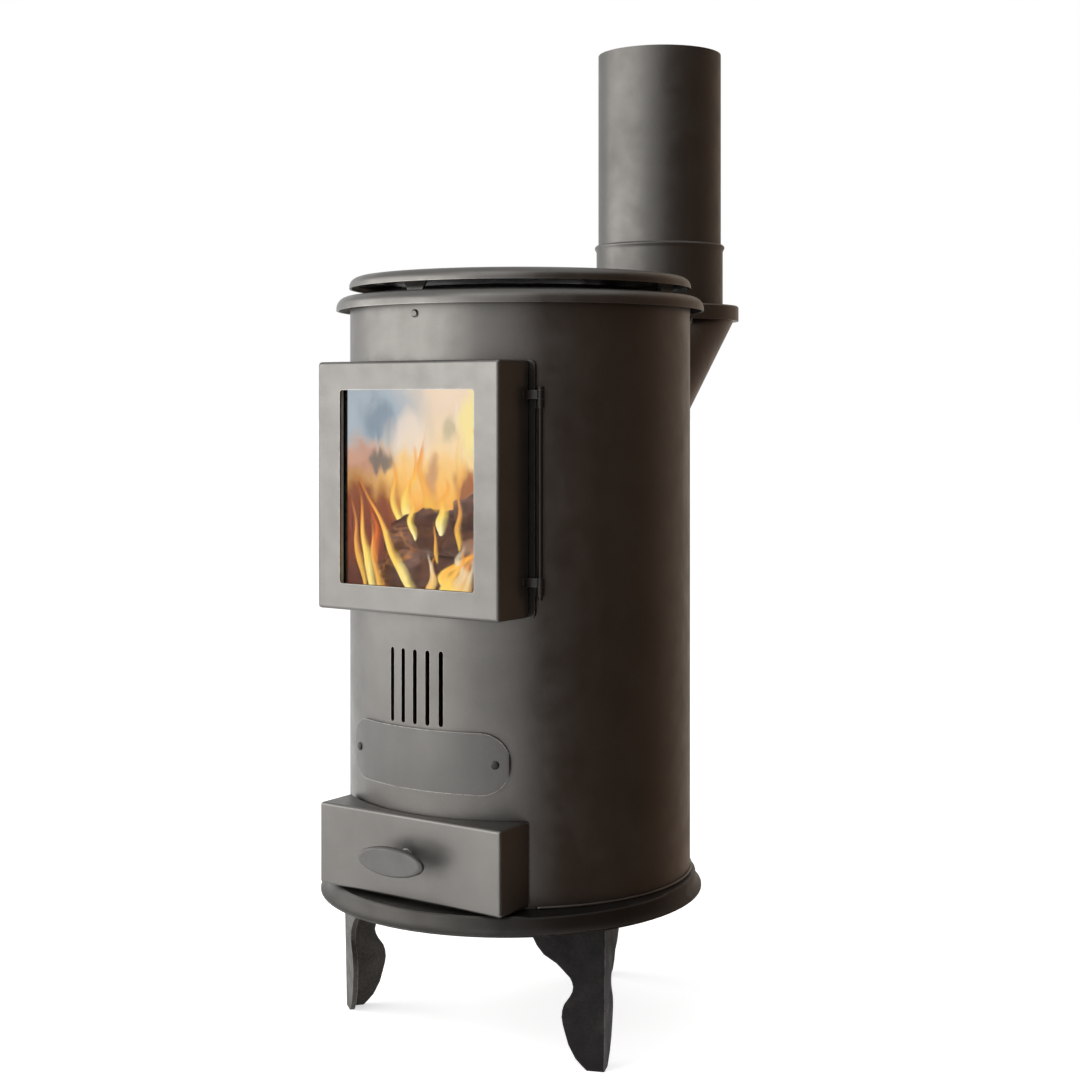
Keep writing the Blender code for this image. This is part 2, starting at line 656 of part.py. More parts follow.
def build_drum():
    """Rolled drum with its door, drawer, flue and air openings."""
    drum = tube("drum_shell", DRUM_BORE, DRUM_RADIUS, DRUM_BOTTOM, DRUM_TOP, ROUND_STEPS, "stove_paint")
    front = -DRUM_RADIUS - CUT_OVERRUN
    door_hole = box("door_opening", (-NECK_HALF - SEAT_GAP, front, NECK_BOTTOM - SEAT_GAP),
                    (NECK_HALF + SEAT_GAP, 0, NECK_TOP + SEAT_GAP))
    cut(drum, door_hole)
    drawer_hole = box("drawer_opening", (-COLLAR_HALF - SEAT_GAP, front, COLLAR_BOTTOM - SEAT_GAP),
                      (COLLAR_HALF + SEAT_GAP, 0, COLLAR_TOP + SEAT_GAP))
    cut(drum, drawer_hole)
    cut(drum, flue_cylinder("flue_opening", FLUE_TUBE_RADIUS - FLUE_TUBE_WALL))
    for index in range(SLOT_COUNT):
        offset = (index - (SLOT_COUNT - 1) / 2) * SLOT_PITCH
        cut(drum, slot_cutter(offset))
    for degrees in cap_rivet_azimuths():
        cut(drum, radial_hole(RIVET_RADIUS + RIVET_CLEARANCE, degrees, CAP_RIVET_Z))
    for degrees in plate_screw_azimuths():
        cut(drum, radial_hole(RIVET_RADIUS + RIVET_CLEARANCE, degrees, PLATE_Z))


def slot_cutter(offset):
    """Round-ended upright slot through the drum's front wall."""
    half = SLOT_WIDTH / 2
    outline = arc((offset, SLOT_TOP - half), half, 0, 180, CORNER_STEPS)
    outline += arc((offset, SLOT_BOTTOM + half), half, 180, 360, CORNER_STEPS)
    return prism("air_slot", outline, -DRUM_RADIUS - CUT_OVERRUN, -DRUM_BORE + CUT_OVERRUN * 2, facing_front)


def radial_hole(radius, degrees, height):
    start = DRUM_BORE - CUT_OVERRUN
    return turned("radial_hole", [(radius, start, DRUM_RADIUS + CUT_OVERRUN)], SCREW_STEPS,
                  axis_matrix=along_radius(degrees, height))


def cap_rivet_azimuths():
    return [360 * index / CAP_RIVET_COUNT for index in range(CAP_RIVET_COUNT)]


def plate_screw_azimuths():
    reach = PLATE_LENGTH / 2 - PLATE_SCREW_INSET
    angle = math.degrees(reach / DRUM_RADIUS)
    return [-angle, angle]


def build_cap():
    """Pressed cap: low crown, round shoulder, rolled lip, and a spigot that enters the drum."""
    lip_bottom = CAP_TOP - CAP_LIP_DROP
    width = CAP_LIP_RADIUS - CAP_FLAT_RADIUS
    drop = CAP_LIP_DROP - CAP_SHEET
    shoulder = []
    under = []
    for step in range(SHOULDER_STEPS):
        angle = math.radians(90 * step / SHOULDER_STEPS)
        level = lip_bottom + drop * math.cos(angle)
        shoulder.append((CAP_FLAT_RADIUS + width * math.sin(angle), level + CAP_SHEET))
        under.append((CAP_FLAT_RADIUS + (width - CAP_SHEET) * math.sin(angle), level))
    spigot = DRUM_BORE - SEAT_GAP
    land = CAP_FLAT_RADIUS - CAP_LAND_WIDTH
    crown = land - CAP_CROWN_RUN
    profile = [(0, CAP_TOP + CAP_CROWN_RISE), (crown, CAP_TOP + CAP_CROWN_RISE), (land, CAP_TOP)]
    profile += shoulder
    profile += [(CAP_LIP_RADIUS, lip_bottom + CAP_SHEET / 2), (CAP_LIP_RADIUS, lip_bottom),
                (CAP_LIP_RADIUS - CAP_SHEET, lip_bottom)]
    profile += reversed(under)
    profile += [(spigot, CAP_UNDERSIDE), (spigot, SPIGOT_BOTTOM),
                (spigot - SPIGOT_WALL, SPIGOT_BOTTOM), (spigot - SPIGOT_WALL, CAP_UNDERSIDE),
                (crown, CAP_UNDERSIDE + CAP_CROWN_RISE), (0, CAP_UNDERSIDE + CAP_CROWN_RISE)]
    cap = revolve("top_cap", profile, ROUND_STEPS, "stove_paint", closed=False)
    for index, degrees in enumerate(cap_rivet_azimuths()):
        cut(cap, radial_hole(RIVET_RADIUS + RIVET_CLEARANCE, degrees, CAP_RIVET_Z))
        build_rivet("cap_rivet_%d" % (index + 1), degrees, CAP_RIVET_Z, DRUM_RADIUS, spigot - SPIGOT_WALL)


def build_rivet(name, degrees, height, surface, tail):
    """Domed fastener seated on a surface radius, with a shank that ends at the tail radius."""
    seat = surface + SEAT_GAP
    profile = [(0, tail), (RIVET_RADIUS, tail), (RIVET_RADIUS, seat), (RIVET_HEAD_RADIUS, seat)]
    for radius_share, height_share in RIVET_DOME_SHARES:
        profile.append((radius_share * RIVET_HEAD_RADIUS, seat + height_share * RIVET_HEAD_HEIGHT))
    profile.append((0, seat + RIVET_HEAD_HEIGHT))
    at_spot = along_radius(degrees, height)
    revolve(name, profile, SCREW_STEPS, "plain_steel", axis_matrix=at_spot, closed=False)


def build_disc():
    """Raised lid with a round shoulder; four tapered tabs bent down from its rim carry it."""
    bottom = CAP_TOP + DISC_AIR_GAP
    top = bottom + DISC_HEIGHT
    rise = DISC_HEIGHT - DISC_SHEET
    outer = []
    inner = []
    for step in range(SHOULDER_STEPS + 1):
        angle = math.radians(90 * step / SHOULDER_STEPS)
        reach = DISC_SHOULDER * math.sin(angle)
        outer.append((DISC_RADIUS - DISC_SHOULDER + reach, top - rise + rise * math.cos(angle)))
        inner.append((DISC_RADIUS - DISC_SHOULDER + reach * (1 - DISC_SHEET / DISC_SHOULDER),
                      top - rise + (rise - DISC_SHEET) * math.cos(angle)))
    profile = [(0, top)] + outer + [(DISC_RADIUS, bottom), (DISC_RADIUS - DISC_SHEET, bottom)]
    profile += list(reversed(inner)) + [(0, top - DISC_SHEET)]
    disc = revolve("top_disc", profile, ROUND_STEPS, "stove_paint", closed=False)
    for index in range(TAB_COUNT):
        weld(disc, disc_tab(360 * index / TAB_COUNT, bottom))


def disc_tab(degrees, rim_bottom):
    """Tapered tab in the line of the rim's wall, from inside the wall down to the cap."""
    foot = CAP_TOP + SEAT_GAP
    root = rim_bottom + TAB_ROOT
    outline = [(-TAB_BOTTOM_WIDTH / 2, foot), (TAB_BOTTOM_WIDTH / 2, foot),
               (TAB_TOP_WIDTH / 2, rim_bottom), (TAB_TOP_WIDTH / 2, root),
               (-TAB_TOP_WIDTH / 2, root), (-TAB_TOP_WIDTH / 2, rim_bottom)]
    sag = DISC_RADIUS - math.sqrt(DISC_RADIUS ** 2 - (TAB_TOP_WIDTH / 2) ** 2)
    outside = DISC_RADIUS - sag - SEAT_GAP
    turn = Matrix.Rotation(math.radians(degrees), 4, "Z")

    def on_rim(u, v, w):
        return turn @ Vector((u, -w, v))

    return prism("disc_tab", outline, outside - DISC_SHEET, outside, on_rim)


def pan_front(name, half, bottom, top, front, side_depth, sheet, material):
    """Folded front pan whose top and bottom walls are cut to saddle the drum."""
    pan = edge_rounded_box(name, (-half, front, bottom), (half, front + side_depth, top),
                           DOOR_EDGE_RADIUS, True, material)
    hollow = box(name + "_hollow", (-half + sheet, front + sheet, bottom + sheet),
                 (half - sheet, front + side_depth + CUT_OVERRUN, top - sheet))
    cut(pan, hollow)
    stack = [(DRUM_RADIUS + SADDLE_CLEARANCE, bottom - CUT_OVERRUN, top + CUT_OVERRUN)]
    cut(pan, turned(name + "_saddle", stack, ROUND_STEPS))
    return pan


def build_door_neck():
    """Box neck welded through the drum; the door closes on its front rim."""
    back = NECK_FRONT + NECK_BACK_DEPTH
    neck = box("door_neck", (-NECK_HALF, NECK_FRONT, NECK_BOTTOM), (NECK_HALF, back, NECK_TOP), "stove_paint")
    bore = box("door_neck_bore", (-NECK_HALF + NECK_WALL, NECK_FRONT - CUT_OVERRUN, NECK_BOTTOM + NECK_WALL),
               (NECK_HALF - NECK_WALL, back + CUT_OVERRUN, NECK_TOP - NECK_WALL))
    cut(neck, bore)


def build_side_plates():
    """Upright strips beside the door: one carries the hinge ears, the other the keeper."""
    inner = math.sqrt((DRUM_RADIUS + SEAT_GAP) ** 2 - SIDE_PLATE_BACK ** 2)
    for side, name in ((1, "hinge_plate"), (-1, "latch_plate")):
        strip = rounded_strip(inner, SIDE_PLATE_EDGE, side)
        plate = prism(name, strip, SIDE_PLATE_FRONT, SIDE_PLATE_BACK, facing_front, "stove_paint")
        if side > 0:
            for level in KNUCKLE_LEVELS.values():
                add_knuckle(plate, level - KNUCKLE_GAP / 2 - KNUCKLE_HEIGHT, level - KNUCKLE_GAP / 2,
                            (SIDE_PLATE_EDGE - SIDE_PLATE_CORNER / 2, SIDE_PLATE_FRONT),
                            (HINGE_X, SIDE_PLATE_BACK))
    keeper_parts = [(KEEPER_RADIUS, 0, KEEPER_LENGTH),
                    (KEEPER_HEAD_RADIUS, KEEPER_LENGTH, KEEPER_LENGTH + KEEPER_HEAD_HEIGHT)]
    turned("latch_keeper", keeper_parts, SCREW_STEPS, "plain_steel",
           along_axis((-SIDE_PLATE_EDGE - SEAT_GAP, KEEPER_Y, LATCH_Z), (-1, 0, 0)))


def rounded_strip(inner, outer, side):
    """Outline of a strip whose two outer corners are round."""
    radius = SIDE_PLATE_CORNER
    upper = arc((outer - radius, DOOR_TOP - radius), radius, 0, 90, CORNER_STEPS)
    lower = arc((outer - radius, DOOR_BOTTOM + radius), radius, 270, 360, CORNER_STEPS)
    outline = [(inner, DOOR_BOTTOM)] + lower + upper + [(inner, DOOR_TOP)]
    return [(side * x, z) for x, z in outline]


def add_knuckle(carrier, bottom, top, web_low, web_high):
    """Weld a web and a bored barrel to a hinge piece."""
    web = box(carrier.name + "_web", (*web_low, bottom), (*web_high, top))
    weld(carrier, web)
    at_hinge = Matrix.Translation((HINGE_X, HINGE_Y, 0))
    barrel = [(BARREL_RADIUS, bottom, top)]
    weld(carrier, turned(carrier.name + "_barrel", barrel, FIT_STEPS, axis_matrix=at_hinge))
    bore = [(ROD_RADIUS + ROD_CLEARANCE, bottom - CUT_OVERRUN, top + CUT_OVERRUN)]
    cut(carrier, turned(carrier.name + "_bore", bore, FIT_STEPS, axis_matrix=at_hinge))


def build_hinge_rod():
    bottom = KNUCKLE_LEVELS["lower"] - KNUCKLE_HEIGHT - ROD_END
    head = KNUCKLE_LEVELS["upper"] + KNUCKLE_GAP / 2 + KNUCKLE_HEIGHT + SEAT_GAP
    parts = [(ROD_RADIUS, bottom, head), (ROD_HEAD_RADIUS, head, head + ROD_HEAD_HEIGHT)]
    turned("hinge_rod", parts, FIT_STEPS, "plain_steel", Matrix.Translation((HINGE_X, HINGE_Y, 0)))


def build_hinge_leaf(level_name, axis):
    """Door leaf: a strap on the door's side wall, turned out to its barrel."""
    level = KNUCKLE_LEVELS[level_name]
    bottom = level + KNUCKLE_GAP / 2
    top = bottom + KNUCKLE_HEIGHT
    wall = DOOR_HALF + SEAT_GAP
    back = HINGE_Y - BARREL_RADIUS + LEAF_THICKNESS / 4
    leaf = box("hinge_leaf_" + level_name, (wall, back - LEAF_LENGTH, bottom),
               (wall + LEAF_THICKNESS, back, top), "stove_paint")
    add_knuckle(leaf, bottom, top, (wall, back - LEAF_THICKNESS), (HINGE_X, back))
    hang(leaf, axis)


def build_door(axis):
    """Door panel with its window, glass, gasket, retainer, studs and rope seal."""
    panel = pan_front("door_panel", DOOR_HALF, DOOR_BOTTOM, DOOR_TOP, DOOR_FRONT, DOOR_SIDE_DEPTH, DOOR_SHEET,
                      "stove_paint")
    half = WINDOW_WIDTH / 2
    window = rounded_rectangle(-half, WINDOW_BOTTOM, half, WINDOW_TOP, WINDOW_CORNER_RADIUS)
    cut(panel, prism("window_opening", window, DOOR_FRONT - CUT_OVERRUN, DOOR_INNER_FACE + CUT_OVERRUN,
                     facing_front))
    hang(panel, axis)

    glass_half = half + GLASS_LAP
    gasket_front = DOOR_INNER_FACE + SEAT_GAP
    glass_front = gasket_front + GASKET_THICKNESS + SEAT_GAP
    glass_back = glass_front + GLASS_THICKNESS
    glass = box("door_glass", (-glass_half, glass_front, WINDOW_BOTTOM - GLASS_LAP),
                (glass_half, glass_back, WINDOW_TOP + GLASS_LAP), "glass")
    hang(glass, axis)
    gasket = frame_ring("glass_gasket", half + RETAINER_LAP, glass_half, RETAINER_LAP, GLASS_LAP,
                        gasket_front, gasket_front + GASKET_THICKNESS, "seal_fibre")
    hang(gasket, axis)
    retainer_front = glass_back + SEAT_GAP
    retainer_back = retainer_front + RETAINER_THICKNESS
    margin = RETAINER_LAP + RETAINER_WIDTH
    retainer = frame_ring("glass_retainer", half + RETAINER_LAP, half + margin, RETAINER_LAP, margin,
                          retainer_front, retainer_back, "stove_paint")
    hang(retainer, axis)

    stud_x = glass_half + STUD_MARGIN
    number = 0
    for x in (-stud_x, stud_x):
        for z in (WINDOW_BOTTOM + STUD_FROM_CORNER, WINDOW_TOP - STUD_FROM_CORNER):
            number += 1
            at_spot = along_axis((x, gasket_front, z), (0, 1, 0))
            depth = retainer_back + SEAT_GAP - gasket_front
            hole = [(STUD_RADIUS + SEAT_GAP, -CUT_OVERRUN, depth + CUT_OVERRUN)]
            cut(retainer, turned("stud_hole", hole, SCREW_STEPS, axis_matrix=at_spot))
            parts = [(STUD_RADIUS, 0, depth), (STUD_HEAD_RADIUS, depth, depth + STUD_HEAD_HEIGHT)]
            hang(turned("retainer_stud_%d" % number, parts, SCREW_STEPS, "plain_steel", at_spot), axis)
    build_rope(axis)


def frame_ring(name, inner_half, outer_half, inner_margin, outer_margin, front, back, material):
    """Flat rectangular ring round the window, margins measured from the window's edges."""
    corners = []
    for side, away in ((-1, -1), (1, -1), (1, 1), (-1, 1)):
        level = WINDOW_TOP if away > 0 else WINDOW_BOTTOM
        inner = (side * inner_half, level + away * inner_margin)
        outer = (side * outer_half, level + away * outer_margin)
        corners.append([(inner[0], front, inner[1]), (outer[0], front, outer[1]),
                        (outer[0], back, outer[1]), (inner[0], back, inner[1])])
    return loft(name, corners, material, closed=True)


def build_rope(axis):
    """Closed rope seal that lies between the door panel and the neck's rim."""
    front = DOOR_INNER_FACE + SEAT_GAP
    back = NECK_FRONT - SEAT_GAP
    inset = NECK_WALL / 2
    path = rounded_rectangle(-NECK_HALF + inset, NECK_BOTTOM + inset, NECK_HALF - inset, NECK_TOP - inset,
                             ROPE_CORNER_RADIUS, CORNER_STEPS + 1)
    middle = Vector((0, (NECK_BOTTOM + NECK_TOP) / 2))
    rings = []
    for index, (x, z) in enumerate(path):
        before = Vector(path[index - 1])
        after = Vector(path[(index + 1) % len(path)])
        run = (after - before).normalized()
        across = Vector((run.y, -run.x))
        if across.dot(Vector((x, z)) - middle) < 0:
            across = -across
        ring = []
        for step in range(ROPE_SIDES):
            angle = math.tau * (step + 0.5) / ROPE_SIDES
            spread = ROPE_WIDTH / 2 * math.cos(angle) / math.cos(math.pi / ROPE_SIDES)
            depth = (back - front) / 2 * math.sin(angle) / math.cos(math.pi / ROPE_SIDES)
            ring.append((x + across.x * spread, (front + back) / 2 + depth, z + across.y * spread))
        rings.append(ring)
    hang(loft("door_rope_seal", rings, "seal_fibre", 60, closed=True), axis)


def build_latch(door_axis, latch_axis):
    """Shoulder pivot on the door's side wall; hooked lever and knob turn on it."""
    wall = -DOOR_HALF - SEAT_GAP
    spacer = wall - (LATCH_INNER_FACE + SEAT_GAP)
    shank = wall - (LATCH_OUTER_FACE - SEAT_GAP)
    parts = [(LATCH_SPACER_RADIUS, 0, spacer), (LATCH_PIVOT_RADIUS, spacer, shank),
             (LATCH_HEAD_RADIUS, shank, shank + LATCH_HEAD_HEIGHT)]
    pivot = turned("latch_pivot", parts, SCREW_STEPS, "plain_steel",
                   along_axis((wall, LATCH_Y, LATCH_Z), (-1, 0, 0)))
    hang(pivot, door_axis)

    reach = KEEPER_Y - LATCH_Y
    notch = KEEPER_RADIUS + KEEPER_CLEARANCE
    tip = reach + notch + LATCH_HOOK_TIP
    top = LATCH_ARM_TOP
    grip_turn = math.radians(LATCH_THROW_DEGREES)
    grip = (LATCH_GRIP_DROP * math.sin(grip_turn), -LATCH_GRIP_DROP * math.cos(grip_turn))
    across = (LATCH_ARM_HALF_WIDTH * math.cos(grip_turn), LATCH_ARM_HALF_WIDTH * math.sin(grip_turn))
    outline = arc((0, 0), LATCH_EYE_RADIUS, 30, 200, SHOULDER_STEPS)
    outline += [(grip[0] - across[0], grip[1] - across[1])]
    outline += arc(grip, LATCH_ARM_HALF_WIDTH, 180 + LATCH_THROW_DEGREES, 360 + LATCH_THROW_DEGREES,
                   SHOULDER_STEPS)[1:-1]
    outline += [(grip[0] + across[0], grip[1] + across[1])]
    outline += [(LATCH_HEEL_SHARE * LATCH_EYE_RADIUS, -LATCH_EYE_RADIUS), (tip, -notch - LATCH_HOOK_TIP),
                (tip, top)]
    outline += [(reach + notch, top)]
    outline += arc((reach, 0), notch, 0, -180, SHOULDER_STEPS)
    outline += [(reach - notch, top)]
    turn = Matrix.Rotation(-grip_turn, 4, "X")

    def in_rest_place(u, v, w):
        spot = turn @ Vector((0, u, v))
        return Vector((w, LATCH_Y + spot.y, LATCH_Z + spot.z))

    lever = prism("latch_lever", outline, LATCH_OUTER_FACE, LATCH_INNER_FACE, in_rest_place, "cast_iron")
    eye = [(LATCH_PIVOT_RADIUS + SEAT_GAP, -CUT_OVERRUN, CUT_OVERRUN)]
    cut(lever, turned("latch_eye", eye, SCREW_STEPS,
                      axis_matrix=along_axis((LATCH_INNER_FACE, LATCH_Y, LATCH_Z), (-1, 0, 0))))
    hang(lever, latch_axis)
    spot = in_rest_place(grip[0], grip[1], LATCH_OUTER_FACE - SEAT_GAP)
    edge = LATCH_KNOB_EDGE
    profile = [(0, 0), (LATCH_KNOB_RADIUS - edge, 0), (LATCH_KNOB_RADIUS, edge),
               (LATCH_KNOB_RADIUS, LATCH_KNOB_LENGTH - edge), (LATCH_KNOB_RADIUS - edge, LATCH_KNOB_LENGTH),
               (0, LATCH_KNOB_LENGTH)]
    knob = revolve("latch_knob", profile, FIT_STEPS, "cast_iron", axis_matrix=along_axis(spot, (-1, 0, 0)),
                   closed=False)
    hang(knob, latch_axis)


def build_drawer_collar():
    """Box collar welded through the drum's foot; the ash tray slides in it."""
    back = COLLAR_FRONT + COLLAR_BACK_DEPTH
    collar = box("drawer_collar", (-COLLAR_HALF, COLLAR_FRONT, COLLAR_BOTTOM),
                 (COLLAR_HALF, back, COLLAR_TOP), "stove_paint")
    bore = box("drawer_collar_bore",
               (-COLLAR_HALF + COLLAR_WALL, COLLAR_FRONT - CUT_OVERRUN, COLLAR_BOTTOM + COLLAR_WALL),
               (COLLAR_HALF - COLLAR_WALL, back + CUT_OVERRUN, COLLAR_TOP - COLLAR_WALL))
    cut(collar, bore)


def build_runners():
    """Angle runners on the base plate that carry the tray inside the drum."""
    start = COLLAR_FRONT + COLLAR_BACK_DEPTH + SEAT_GAP
    shelf_top = TRAY_BOTTOM - SEAT_GAP
    web = TRAY_HALF + RUNNER_CLEARANCE
    for side, name in ((-1, "tray_runner_left"), (1, "tray_runner_right")):
        foot = BASE_TOP + SEAT_GAP
        outline = [(web, foot), (web + RUNNER_SHEET, foot), (web + RUNNER_SHEET, foot + RUNNER_HEIGHT),
                   (web, foot + RUNNER_HEIGHT), (web, shelf_top), (web - RUNNER_SHELF, shelf_top),
                   (web - RUNNER_SHELF, shelf_top - RUNNER_SHEET), (web, shelf_top - RUNNER_SHEET)]
        mirrored = [(side * x, z) for x, z in outline]
        prism(name, mirrored, start, start + RUNNER_LENGTH, facing_front, "tray_steel")


def build_drawer(axis):
    """Drawer front, ash tray, and the knob with its stem and screw."""
    front = pan_front("drawer_front", DRAWER_WIDTH / 2, DRAWER_BOTTOM, DRAWER_TOP, DRAWER_FRONT,
                      DRAWER_SIDE_DEPTH, DRAWER_SHEET, "stove_paint")
    tray = box("ash_tray", (-TRAY_HALF, TRAY_FRONT, TRAY_BOTTOM),
               (TRAY_HALF, TRAY_FRONT + TRAY_LENGTH, TRAY_TOP), "tray_steel")
    hollow = box("ash_tray_hollow", (-TRAY_HALF + TRAY_SHEET, TRAY_FRONT + TRAY_SHEET, TRAY_BOTTOM + TRAY_SHEET),
                 (TRAY_HALF - TRAY_SHEET, TRAY_FRONT + TRAY_LENGTH - TRAY_SHEET, TRAY_TOP + CUT_OVERRUN))
    cut(tray, hollow)

    screw_hole = KNOB_SCREW_RADIUS + SEAT_GAP
    at_knob = along_axis((0, DRAWER_FRONT, KNOB_Z), (0, -1, 0))
    for piece in (front, tray):
        cut(piece, turned(piece.name + "_screw_hole", [(screw_hole, -CUT_OVERRUN, CUT_OVERRUN)], SCREW_STEPS,
                          axis_matrix=at_knob))
    stem_length = KNOB_REACH - KNOB_THICKNESS - SEAT_GAP * 2
    start = SEAT_GAP
    profile = [(0, KNOB_SCREW_DEPTH), (screw_hole, KNOB_SCREW_DEPTH), (screw_hole, start),
               (STEM_RADIUS + STEM_FLARE, start), (STEM_RADIUS + STEM_FLARE / 3, start + STEM_FLARE / 3),
               (STEM_RADIUS, start + STEM_FLARE), (STEM_RADIUS, start + stem_length), (0, start + stem_length)]
    stem = revolve("knob_stem", profile, FIT_STEPS, "stove_paint", axis_matrix=at_knob, closed=False)
    knob = build_oval_knob(start + stem_length + SEAT_GAP)
    inside = -(TRAY_FRONT + TRAY_SHEET + SEAT_GAP - DRAWER_FRONT)
    parts = [(KNOB_SCREW_HEAD_RADIUS, inside - KNOB_SCREW_HEAD_HEIGHT, inside),
             (KNOB_SCREW_RADIUS, inside, KNOB_SCREW_DEPTH - SEAT_GAP)]
    screw = turned("knob_screw", parts, SCREW_STEPS, "plain_steel", at_knob)
    for piece in (front, tray, stem, knob, screw):
        hang(piece, axis)


def build_oval_knob(start):
    """Oval pull: a flat oval disc with rounded edges."""
    rings = []
    for depth_share, size_share in KNOB_ROUNDING_SHARES:
        ring = []
        for step in range(KNOB_STEPS):
            angle = math.tau * step / KNOB_STEPS
            ring.append((size_share * KNOB_WIDTH / 2 * math.cos(angle),
                         DRAWER_FRONT - start - depth_share * KNOB_THICKNESS,
                         KNOB_Z + size_share * KNOB_HEIGHT / 2 * math.sin(angle)))
        rings.append(ring)
    return loft("oval_knob", rings, "stove_paint", 40)


def build_name_plate():
    """Bare curved plate with round ends, bent to the drum and held by two screws."""
    inner = DRUM_RADIUS + SEAT_GAP
    outer = inner + PLATE_THICKNESS
    half_length = PLATE_LENGTH / 2
    half_height = PLATE_HEIGHT / 2
    straight = half_length - half_height
    places = []
    for step in range(1, PLATE_END_STEPS):
        places.append(-straight - half_height * math.cos(math.radians(90 * step / PLATE_END_STEPS)))
    for step in range(PLATE_STRAIGHT_STEPS + 1):
        places.append(-straight + 2 * straight * step / PLATE_STRAIGHT_STEPS)
    for step in range(1, PLATE_END_STEPS):
        places.append(straight + half_height * math.sin(math.radians(90 * step / PLATE_END_STEPS)))
    rings = []
    for place_along in places:
        over = max(0, abs(place_along) - straight)
        reach = math.sqrt(half_height ** 2 - over ** 2)
        degrees = math.degrees(place_along / DRUM_RADIUS)
        rings.append([polar(inner, degrees, PLATE_Z - reach), polar(outer, degrees, PLATE_Z - reach),
                      polar(outer, degrees, PLATE_Z + reach), polar(inner, degrees, PLATE_Z + reach)])
    plate = loft("name_plate", rings, "stove_paint")
    for index, degrees in enumerate(plate_screw_azimuths()):
        cut(plate, radial_hole(RIVET_RADIUS + RIVET_CLEARANCE, degrees, PLATE_Z))
        build_rivet("plate_screw_%d" % (index + 1), degrees, PLATE_Z, outer, DRUM_BORE - SEAT_GAP)


def build_grate():
    """Cast bar grate on a welded ledge ring."""
    ledge_top = GRATE_BOTTOM - SEAT_GAP
    wall = DRUM_BORE - SEAT_GAP
    profile = [(wall, ledge_top), (wall, ledge_top - LEDGE_DEPTH), (wall - LEDGE_WALL, ledge_top - LEDGE_DEPTH),
               (wall - LEDGE_WALL, ledge_top - LEDGE_WALL), (wall - LEDGE_WIDTH, ledge_top - LEDGE_WALL),
               (wall - LEDGE_WIDTH, ledge_top)]
    revolve("grate_ledge", profile, ROUND_STEPS // 2, "stove_paint")
    grate = turned("grate", [(GRATE_RADIUS, GRATE_BOTTOM, GRATE_TOP)], ROUND_STEPS // 2, "cast_iron")
    clear = GRATE_RADIUS - GRATE_RIM_WIDTH
    pitch = GRATE_SLOT_WIDTH + GRATE_BAR_WIDTH
    for index in range(GRATE_SLOT_COUNT):
        x = (index - (GRATE_SLOT_COUNT - 1) / 2) * pitch
        edge = abs(x) + GRATE_SLOT_WIDTH / 2
        reach = math.sqrt(max(0, clear ** 2 - edge ** 2))
        if reach < GRATE_SLOT_WIDTH:
            continue
        cut(grate, box("grate_slot", (x - GRATE_SLOT_WIDTH / 2, -reach, GRATE_BOTTOM - CUT_OVERRUN),
                       (x + GRATE_SLOT_WIDTH / 2, reach, GRATE_TOP + CUT_OVERRUN)))


def build_bricks():
    """Curved fire bricks that stand on the grate round the back and sides of the firebox."""
    outer = DRUM_BORE - SEAT_GAP
    inner = outer - BRICK_THICKNESS
    span = (360 - 2 * BRICK_START_DEGREES) / BRICK_COUNT
    gap = math.degrees(BRICK_JOINT / inner)
    for index in range(BRICK_COUNT):
        start = BRICK_START_DEGREES + span * index + gap / 2
        rings = []
        for step in range(BRICK_STEPS + 1):
            degrees = start + (span - gap) * step / BRICK_STEPS
            rings.append([polar(inner, degrees, BRICK_BOTTOM), polar(outer, degrees, BRICK_BOTTOM),
                          polar(outer, degrees, BRICK_TOP), polar(inner, degrees, BRICK_TOP)])
        loft("fire_brick_%d" % (index + 1), rings, "fire_brick")


def build_baffle():
    """Leaning plate between the fire and the flue opening, trimmed to the drum's bore."""
    foot = Vector((0, DRUM_BORE - BAFFLE_FOOT_SETBACK, BRICK_TOP + BAFFLE_THICKNESS))
    lean = math.radians(BAFFLE_LEAN_DEGREES)
    half = BAFFLE_THICKNESS / 2
    length = (SPIGOT_BOTTOM - BAFFLE_HEADROOM - foot.z) / math.cos(lean)
    turn = Matrix.Rotation(lean, 4, "X")
    outline = [(-DRUM_RADIUS, 0), (DRUM_RADIUS, 0), (DRUM_RADIUS, length), (-DRUM_RADIUS, length)]

    def leaning(u, v, w):
        return foot + turn @ Vector((u, w, v))

    baffle = prism("flame_baffle", outline, -half, half, leaning, "cast_iron")
    bore = turned("baffle_trim", [(DRUM_BORE - SEAT_GAP, DRUM_BOTTOM, CAP_TOP)], ROUND_STEPS)
    combine(baffle, bore, "INTERSECT")


def flue_cylinder(name, radius, material=None):
    """Oblique cylinder: level circles whose centres step forward as they go down."""
    rings = []
    for depth in (FLUE_TUBE_DEPTH, 0):
        ring = []
        for step in range(ROUND_STEPS // 2):
            point = polar(radius, 360 * step / (ROUND_STEPS // 2), FLUE_TUBE_TOP - depth)
            ring.append(point + Vector((0, PIPE_OFFSET - depth, 0)))
        rings.append(ring)
    return loft(name, rings, material)


